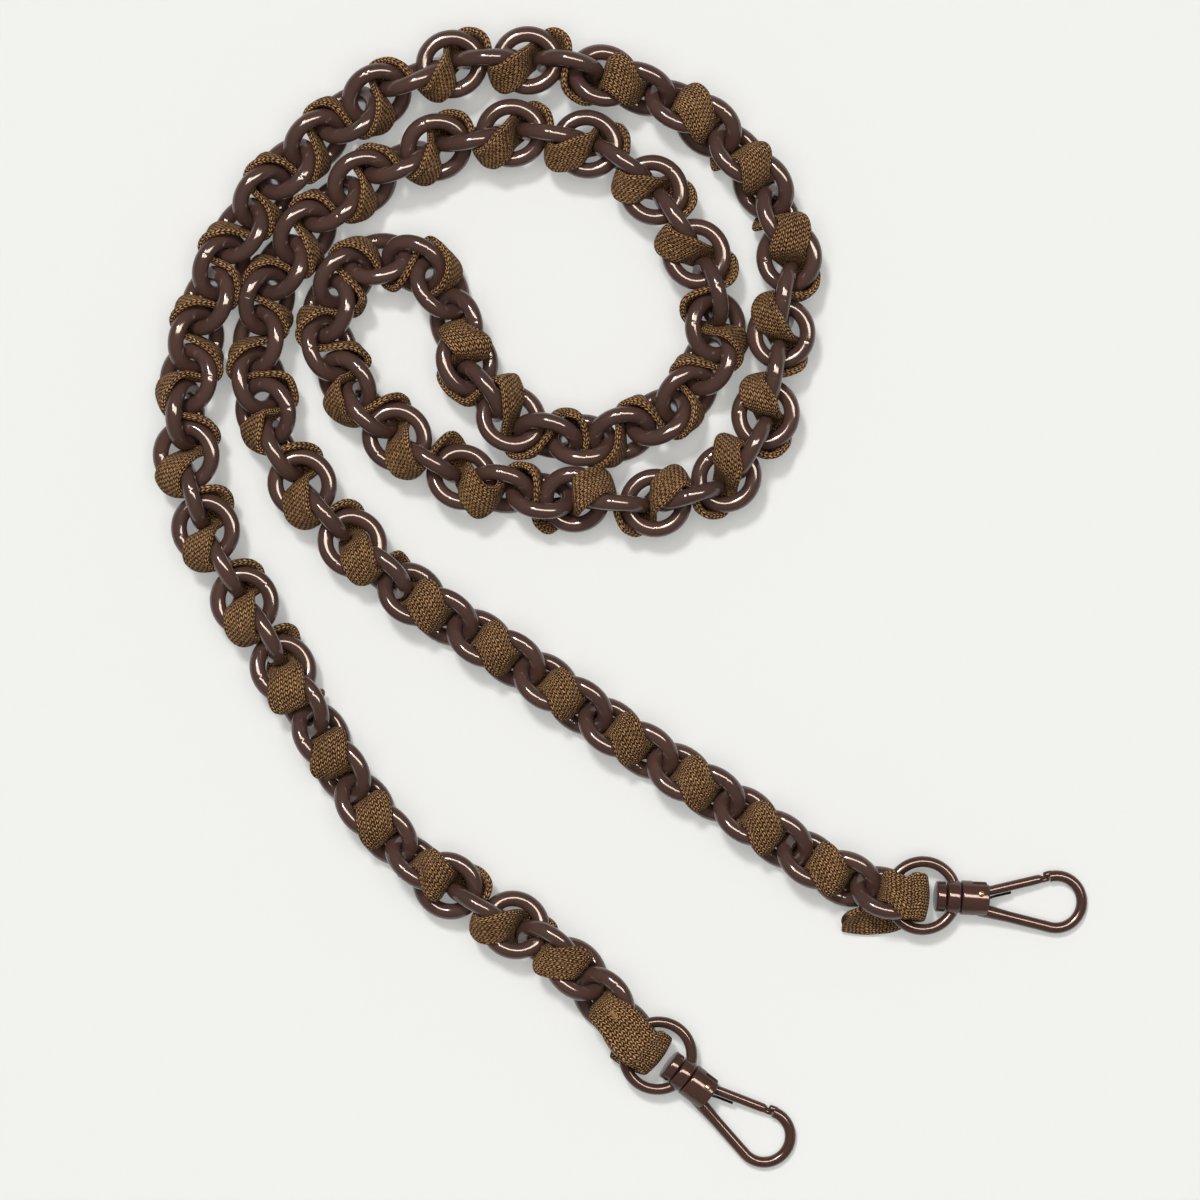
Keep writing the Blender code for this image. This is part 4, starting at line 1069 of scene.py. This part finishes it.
    def relax(self):
        """Moves each cross-section off the wires that it comes too close to, as in the solids."""
        s, rows, chain = self.s, self.rows, self.chain
        need = s.thick / 2 + s.gap
        lines = {j: link.at(round_angles(LINK_POINTS)) for j, link in chain.links.items()}
        circles = self.circles()
        near = []
        for row in rows:
            js = [j for j, link in chain.links.items()
                  if np.linalg.norm(link.centre - row[0]) < 2.5 * chain.half_long + s.wide / 2]
            points = [lines[j] for j in js]
            radii = [np.full(LINK_POINTS, chain.wire_r) for j in js]
            for which, end in (("a", 0), ("b", LINK_COUNT)):
                if abs(row[3] - end) < 2:
                    points.append(circles[which])
                    radii.append(np.full(RING_POINTS, self.hooks[which].ring_r))
            near.append((np.concatenate(points), np.concatenate(radii)))
        shares = np.linspace(-1, 1, 9)[:, None]

        def push(centre, width, half, obstacles):
            sample = centre + shares * half * width
            away = sample[:, None] - obstacles[0][None]
            dist = np.sqrt((away**2).sum(-1))
            lack = obstacles[1][None] + need - dist
            i, k = np.unravel_index(np.argmax(lack), lack.shape)
            if lack[i, k] <= 0:
                return None
            return away[i, k] / max(dist[i, k], 1e-9) * lack[i, k], float(shares[i, 0])

        def shift(row, step, share, weight):
            row[0] = row[0] + step * PUSH_SHARE * weight
            row[1] = unit(row[1] + step * TURN_SHARE * share * weight / row[2])
            if settling and abs(share) > 2 / 3:
                row[2] = max(row[2] * GATHER_SHARE, s.wide / 2 * NARROWEST_SHARE)
            row[0][2] = max(row[0][2], row[2] * abs(row[1][2]) + s.thick / 2)

        def part(one, other):
            a, b = one[0] + shares * one[2] * one[1], other[0] + shares * other[2] * other[1]
            away = a[:, None] - b[None]
            dist = np.sqrt((away**2).sum(-1))
            i, k = np.unravel_index(np.argmin(dist), dist.shape)
            lack = s.apart - dist[i, k]
            if lack > 0:
                step = away[i, k] / max(dist[i, k], 0.2 * MM) * lack / 2
                shift(one, step, float(shares[i, 0]), 1.0)
                shift(other, -step, float(shares[k, 0]), 1.0)

        twos = [(i, k) for i, one in enumerate(rows) for k, other in enumerate(rows[:i])
                if abs(one[3] - other[3]) > 1.5
                and np.linalg.norm(one[0] - other[0]) < s.wide + s.apart]
        for turn in range(RELAX_ROUNDS):
            settling = turn > RELAX_ROUNDS / 3
            for i, k in twos:
                part(rows[i], rows[k])
            for i, row in enumerate(rows):
                step = push(row[0], row[1], row[2], near[i])
                if step is not None:
                    shift(row, *step, 1.0)
                if i + 1 < len(rows):
                    other = rows[i + 1]
                    for share in (1 / 3, 2 / 3):
                        step = push(*(row[n] * (1 - share) + other[n] * share for n in range(3)),
                                    near[i])
                        if step is not None:
                            shift(row, *step, 1 - share)
                            shift(other, *step, share)

    def sheet(self, between=5, columns=13):
        """A fine grid of points over the ribbon: spread and crowned where it lies free, gathered in
        the holes, and eased over the wires."""
        s, chain = self.s, self.chain
        folds = len(FOLD_SHARES["a"]), len(self.rows) - len(FOLD_SHARES["b"])
        table = []
        for i, (centre, width, half, u) in enumerate(self.rows):
            free = math.cos(math.pi * u) ** 2
            k = int(round(u))
            middle = (chain.links[max(k, 1)].centre + chain.links[min(k + 1, LINK_COUNT)].centre) / 2
            if folds[0] <= i < folds[1]:
                out = unit(centre - middle) * s.crown * free
            else:
                hook = self.hooks["a" if i < folds[0] else "b"]
                axes = np.array(hook.matrix)
                round_it = axes[:3, 3] - FOLD_ROUND_SHARE * hook.line * axes[:3, 0]
                away = centre - round_it
                out = unit(away - np.dot(away, axes[:3, 1]) * axes[:3, 1]) * s.crown
            table.append(np.concatenate([centre, width * half * (1 + s.spread * free), out]))
        table = np.array(table)
        for _ in range(FOLD_EVEN_ROUNDS):
            for zone in (slice(1, folds[0] + 3), slice(folds[1] - 3, len(table) - 1)):
                i = np.arange(len(table))[zone]
                table[i, 3:] = (table[i - 1, 3:] + 2 * table[i, 3:] + table[i + 1, 3:]) / 4
        spline = Spline([(u, *values) for u, values in enumerate(table)])
        fine = np.array([spline.at(u) for u in
                         np.linspace(0, len(table) - 1, between * (len(table) - 1) + 1)])
        centres, halves, crowns = fine[:, :3], fine[:, 3:6], fine[:, 6:]
        shares = np.linspace(-1, 1, columns)
        grid = (centres[:, None] + shares[None, :, None] * halves[:, None]
                + (CROWN_MIDDLE_SHARE - shares**2)[None, :, None] * crowns[:, None])
        wires = np.concatenate(
            [link.at(round_angles(LINK_FINE_POINTS)) for link in chain.links.values()]
            + list(self.circles().values()) + self.swung())
        radii = np.full(len(wires), self.hooks["a"].ring_r)
        radii[:LINK_FINE_POINTS * LINK_COUNT] = chain.wire_r
        reach = EASE_REACH_SHARE * s.wide
        numbers = [np.nonzero(np.linalg.norm(wires - c, axis=1) < reach)[0] for c in centres]
        most = max(len(n) for n in numbers)
        index = np.array([np.resize(n, most) if len(n) else np.zeros(most, int) for n in numbers])
        near, near_r = wires[index], radii[index]
        need = s.full / 2 + EASE_ROOM_SHARE * s.full
        rest = grid.copy()
        rows = np.arange(len(grid))
        for _ in range(EASE_ROUNDS):
            # each point is drawn towards its neighbours along and across, and a little to its place
            mean = grid.copy()
            mean[1:-1] = (grid[:-2] + grid[2:]) / 2
            grid = grid + EASE_ALONG_SHARE * (mean - grid)
            mean = grid.copy()
            mean[:, 1:-1] = (grid[:, :-2] + grid[:, 2:]) / 2
            grid = grid + EASE_ACROSS_SHARE * (mean - grid)
            grid = grid + EASE_BACK_SHARE * (rest - grid)
            for column in range(columns):
                away = grid[:, column, None] - near
                dist = np.sqrt((away**2).sum(-1))
                lack = near_r + need - dist
                k = np.argmax(lack, axis=1)
                amount = np.maximum(lack[rows, k], 0) / np.maximum(dist[rows, k], 0.01 * MM)
                grid[:, column] += away[rows, k] * amount[:, None]
            grid[..., 2] = np.maximum(grid[..., 2], s.full / 2)
        return grid


RING_POINTS, LINK_POINTS, LINK_FINE_POINTS = 60, 50, 72  # round each wire that the ribbon clears
CROWN_MIDDLE_SHARE = 0.6
FOLD_ROUND_SHARE = 0.75  # each fold goes round a place this share of the ring's radius inwards
FOLD_EVEN_ROUNDS = 2
SWING_SHARES = (0, 0.25, 0.75, 1)  # of each ring's range, where the folds leave room for it
EASE_ROUNDS = 30
EASE_REACH_SHARE = 1.2
EASE_ROOM_SHARE = 0.03
EASE_ALONG_SHARE = 0.5
EASE_ACROSS_SHARE = 0.3
EASE_BACK_SHARE = 0.05
EDGE_TURNS = np.radians((45, 0, -45))  # the points round each rolled edge


def sheet_normals(grid):
    normal = np.cross(np.gradient(grid, axis=0), np.gradient(grid, axis=1))
    return normal / np.maximum(np.linalg.norm(normal, axis=-1, keepdims=True), 1e-12)


def lengthways(points):
    """How far along a line of points each of them lies."""
    return np.concatenate([[0], np.cumsum(np.linalg.norm(np.diff(points, axis=0), axis=1))])


class STRAP_OT_ribbon(bpy.types.Operator):
    """Makes the knitted ribbon: crowned between the links, gathered in their holes, folded back
    over both rings"""
    bl_idname = "strap.ribbon"
    bl_label = "Knitted ribbon"

    def execute(self, context):
        s = sizes("strap_ribbon")
        grid = Ribbon(Chain()).sheet()
        n, columns = grid.shape[:2]
        normal = sheet_normals(grid)
        half = s.full / 2
        # a flattened tube: its upper side, a rolled edge, its under side and the other edge
        ring = [grid[:, j] + normal[:, j] * half for j in range(columns)]
        for last, before, sign in ((-1, -2, 1), (0, 1, -1)):
            edge = grid[:, last] - grid[:, before]
            edge = edge / np.maximum(np.linalg.norm(edge, axis=1, keepdims=True), 1e-9)
            up = sign * normal[:, last]
            ring += [grid[:, last] + half * (math.cos(a) * edge + math.sin(a) * up)
                     for a in EDGE_TURNS]
            if sign > 0:
                ring += [grid[:, j] - normal[:, j] * half for j in range(columns)[::-1]]
        ring = np.stack(ring, axis=1)
        sides = ring.shape[1]
        obj = new_piece("knitted_ribbon", ring.reshape(-1, 3), grid_faces(n, sides, False),
                        plain_knit())
        # the knit's own places: rows of stitches along, columns round the tube
        flat = s.wide * (1 + s.spread) / (columns - 1)
        turn = math.pi * half / 4
        steps = ([flat] * (columns - 1) + [turn] * 4) * 2
        around = np.concatenate([[0], np.cumsum(steps)])
        around = around / around[-1] * round(around[-1] / s.stitch_wide)
        along = lengthways(grid[:, columns // 2]) / s.stitch_high
        layer = obj.data.uv_layers.new(name="knit")
        values = []
        for face in obj.data.polygons:
            at = [divmod(v, sides) for v in face.vertices]
            wraps = face.loop_total == 4 and {k for _, k in at} == {0, sides - 1}
            values += [x for i, k in at for x in (along[i], around[sides if wraps and k == 0 else k])]
        layer.data.foreach_set("uv", values)
        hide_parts("ribbon")
        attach(obj, "strap")
        return {"FINISHED"}


class STRAP_OT_bartack(bpy.types.Operator):
    """Sews the small bar of pale thread where the ribbon's end is fastened at the second ring"""
    bl_idname = "strap.bartack"
    bl_label = "Sewn bar"

    def execute(self, context):
        s = sizes("strap_ribbon")
        place = Chain().floor_point(*BAR_PX)
        ribbon = bpy.data.objects["knitted_ribbon"]
        graph = context.evaluated_depsgraph_get()
        stitches = []
        way = unit(np.array((math.cos(BAR_ANGLE), math.sin(BAR_ANGLE), 0.0)))
        side = np.cross(UP, way)
        for stitch in range(BAR_STITCHES):
            share = stitch / (BAR_STITCHES - 1) - 0.5
            path = []
            for t in np.linspace(-0.5, 0.5, 7):
                x, y, _ = place + way * s.bar_long * share + side * s.bar_wide * t
                found, hit, _, _ = ribbon.evaluated_get(graph).ray_cast(
                    Vector((x, y, 0.1)), Vector((0, 0, -1)))
                if not found:
                    raise RuntimeError("the sewn bar finds no ribbon under it")
                # the stitch arches over the bar and dives into the knit at both ends
                rise = s.bar_thread * (0.9 * math.cos(math.pi * t) - 0.35)
                path.append(np.array(hit) + rise * UP)
            stitches.append(tube(path, s.bar_thread / 2, 8, way))
        obj = new_piece("sewn_bar", *together(stitches), sewing_thread())
        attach(obj, "strap")
        return {"FINISHED"}


BAR_PX = (614, 1013)
BAR_ANGLE = math.radians(-50)
BAR_STITCHES = 7


# the stage
KEY_FROM = (-0.19, 0.42, 0.89)  # towards the key light
KEY_ANGLE = math.radians(9)
STRIP_LEAN = math.radians(12)
# name and power, place, width and height, colour, lean, and whether it shows only in the gloss
LAMPS = (
    ("fill", (0.0, 0.0, 2.2), (1.8, 1.8), "fffdfa", 0.0, False),
    ("strip", (0.55, 0.45, 2.0), (2.4, 0.6), "ffead6", -STRIP_LEAN, True),
)
SENSOR = 36
SHARP_HIGH = 7 * MM  # the height at which the render has the photograph's scale


class STRAP_OT_stage(bpy.types.Operator):
    """Lays the pale floor, hangs the lamps and sets the camera straight above the strap"""
    bl_idname = "strap.stage"
    bl_label = "Floor, lamps and camera"

    def execute(self, context):
        s = sizes("strap_stage")
        scene = context.scene
        half = s.floor_wide / 2
        corners = [(-half, -half, 0), (half, -half, 0), (half, half, 0), (-half, half, 0)]
        new_piece("floor", corners, [(0, 1, 2, 3)], lit_sheet(), False)
        chain = Chain()
        middle = chain.floor_point(*PHOTO_MIDDLE_PX)
        camera = bpy.data.objects.new("camera", bpy.data.cameras.new("camera"))
        camera.location = (middle[0], middle[1], s.camera_high)
        side = PHOTO_SIDE_PX * chain.pixel
        camera.data.sensor_width = SENSOR
        camera.data.lens = SENSOR * (s.camera_high - SHARP_HIGH) / side
        camera.data.clip_end = 20
        scene.collection.objects.link(camera)
        scene.camera = camera
        scene.view_settings.view_transform = "Standard"
        scene.world = bpy.data.worlds.new("studio")
        scene.world.use_nodes = True
        back = scene.world.node_tree.nodes["Background"]
        back.inputs["Color"].default_value = rgba(s.room)
        back.inputs["Strength"].default_value = s.sky * s.light
        # the key light, high at the upper left, gives the soft shadow and the round hot spots
        key = bpy.data.objects.new("key", bpy.data.lights.new("key", "SUN"))
        scene.collection.objects.link(key)
        key.data.energy, key.data.angle = s.key * s.light, KEY_ANGLE
        key.rotation_euler = Vector(KEY_FROM).to_track_quat("Z", "Y").to_euler()
        # a wide soft lamp overhead lifts the shadows, and a long warm one beyond the strap's far side,
        # which only shows in the gloss, draws the streak along each link
        for name, place, (wide, high), tint, lean, glossy in LAMPS:
            lamp = bpy.data.objects.new(name, bpy.data.lights.new(name, "AREA"))
            scene.collection.objects.link(lamp)
            lamp.data.shape = "RECTANGLE"
            lamp.data.size, lamp.data.size_y = wide, high
            lamp.data.energy = getattr(s, name) * s.light
            lamp.data.color = srgb(tint)
            lamp.visible_diffuse, lamp.visible_glossy = not glossy, glossy
            lamp.location = place
            lamp.rotation_euler = (lean, 0, lean)
        return {"FINISHED"}


# the add-on
OPERATORS = (STRAP_OT_stage, STRAP_OT_links, STRAP_OT_ribbon, STRAP_OT_bartack, STRAP_OT_rings,
             STRAP_OT_rivets, STRAP_OT_hook_bodies, STRAP_OT_gates, STRAP_OT_pins, STRAP_OT_springs)


class STRAP_PT_panel(bpy.types.Panel):
    """Lists the strap's sizes, colours and pieces"""
    bl_label = "Woven chain strap"
    bl_idname = "STRAP_PT_panel"
    bl_space_type = "VIEW_3D"
    bl_region_type = "UI"
    bl_category = "Strap"

    def draw(self, context):
        for name, group in GROUPS:
            box = self.layout.box()
            box.label(text=group.__doc__)
            for key in group.__annotations__:
                box.prop(getattr(context.scene, name), key)
        for operator in OPERATORS:
            self.layout.operator(operator.bl_idname)


CLASSES = tuple(group for _, group in GROUPS) + OPERATORS + (STRAP_PT_panel,)


def register():
    for cls in CLASSES:
        bpy.utils.register_class(cls)
    for name, group in GROUPS:
        setattr(bpy.types.Scene, name, PointerProperty(type=group))


def unregister():
    for name, _ in GROUPS:
        delattr(bpy.types.Scene, name)
    for cls in reversed(CLASSES):
        bpy.utils.unregister_class(cls)


def main():
    register()
    for operator in OPERATORS:
        group, name = operator.bl_idname.split(".")
        getattr(getattr(bpy.ops, group), name)()


if __name__ == "__main__":
    main()
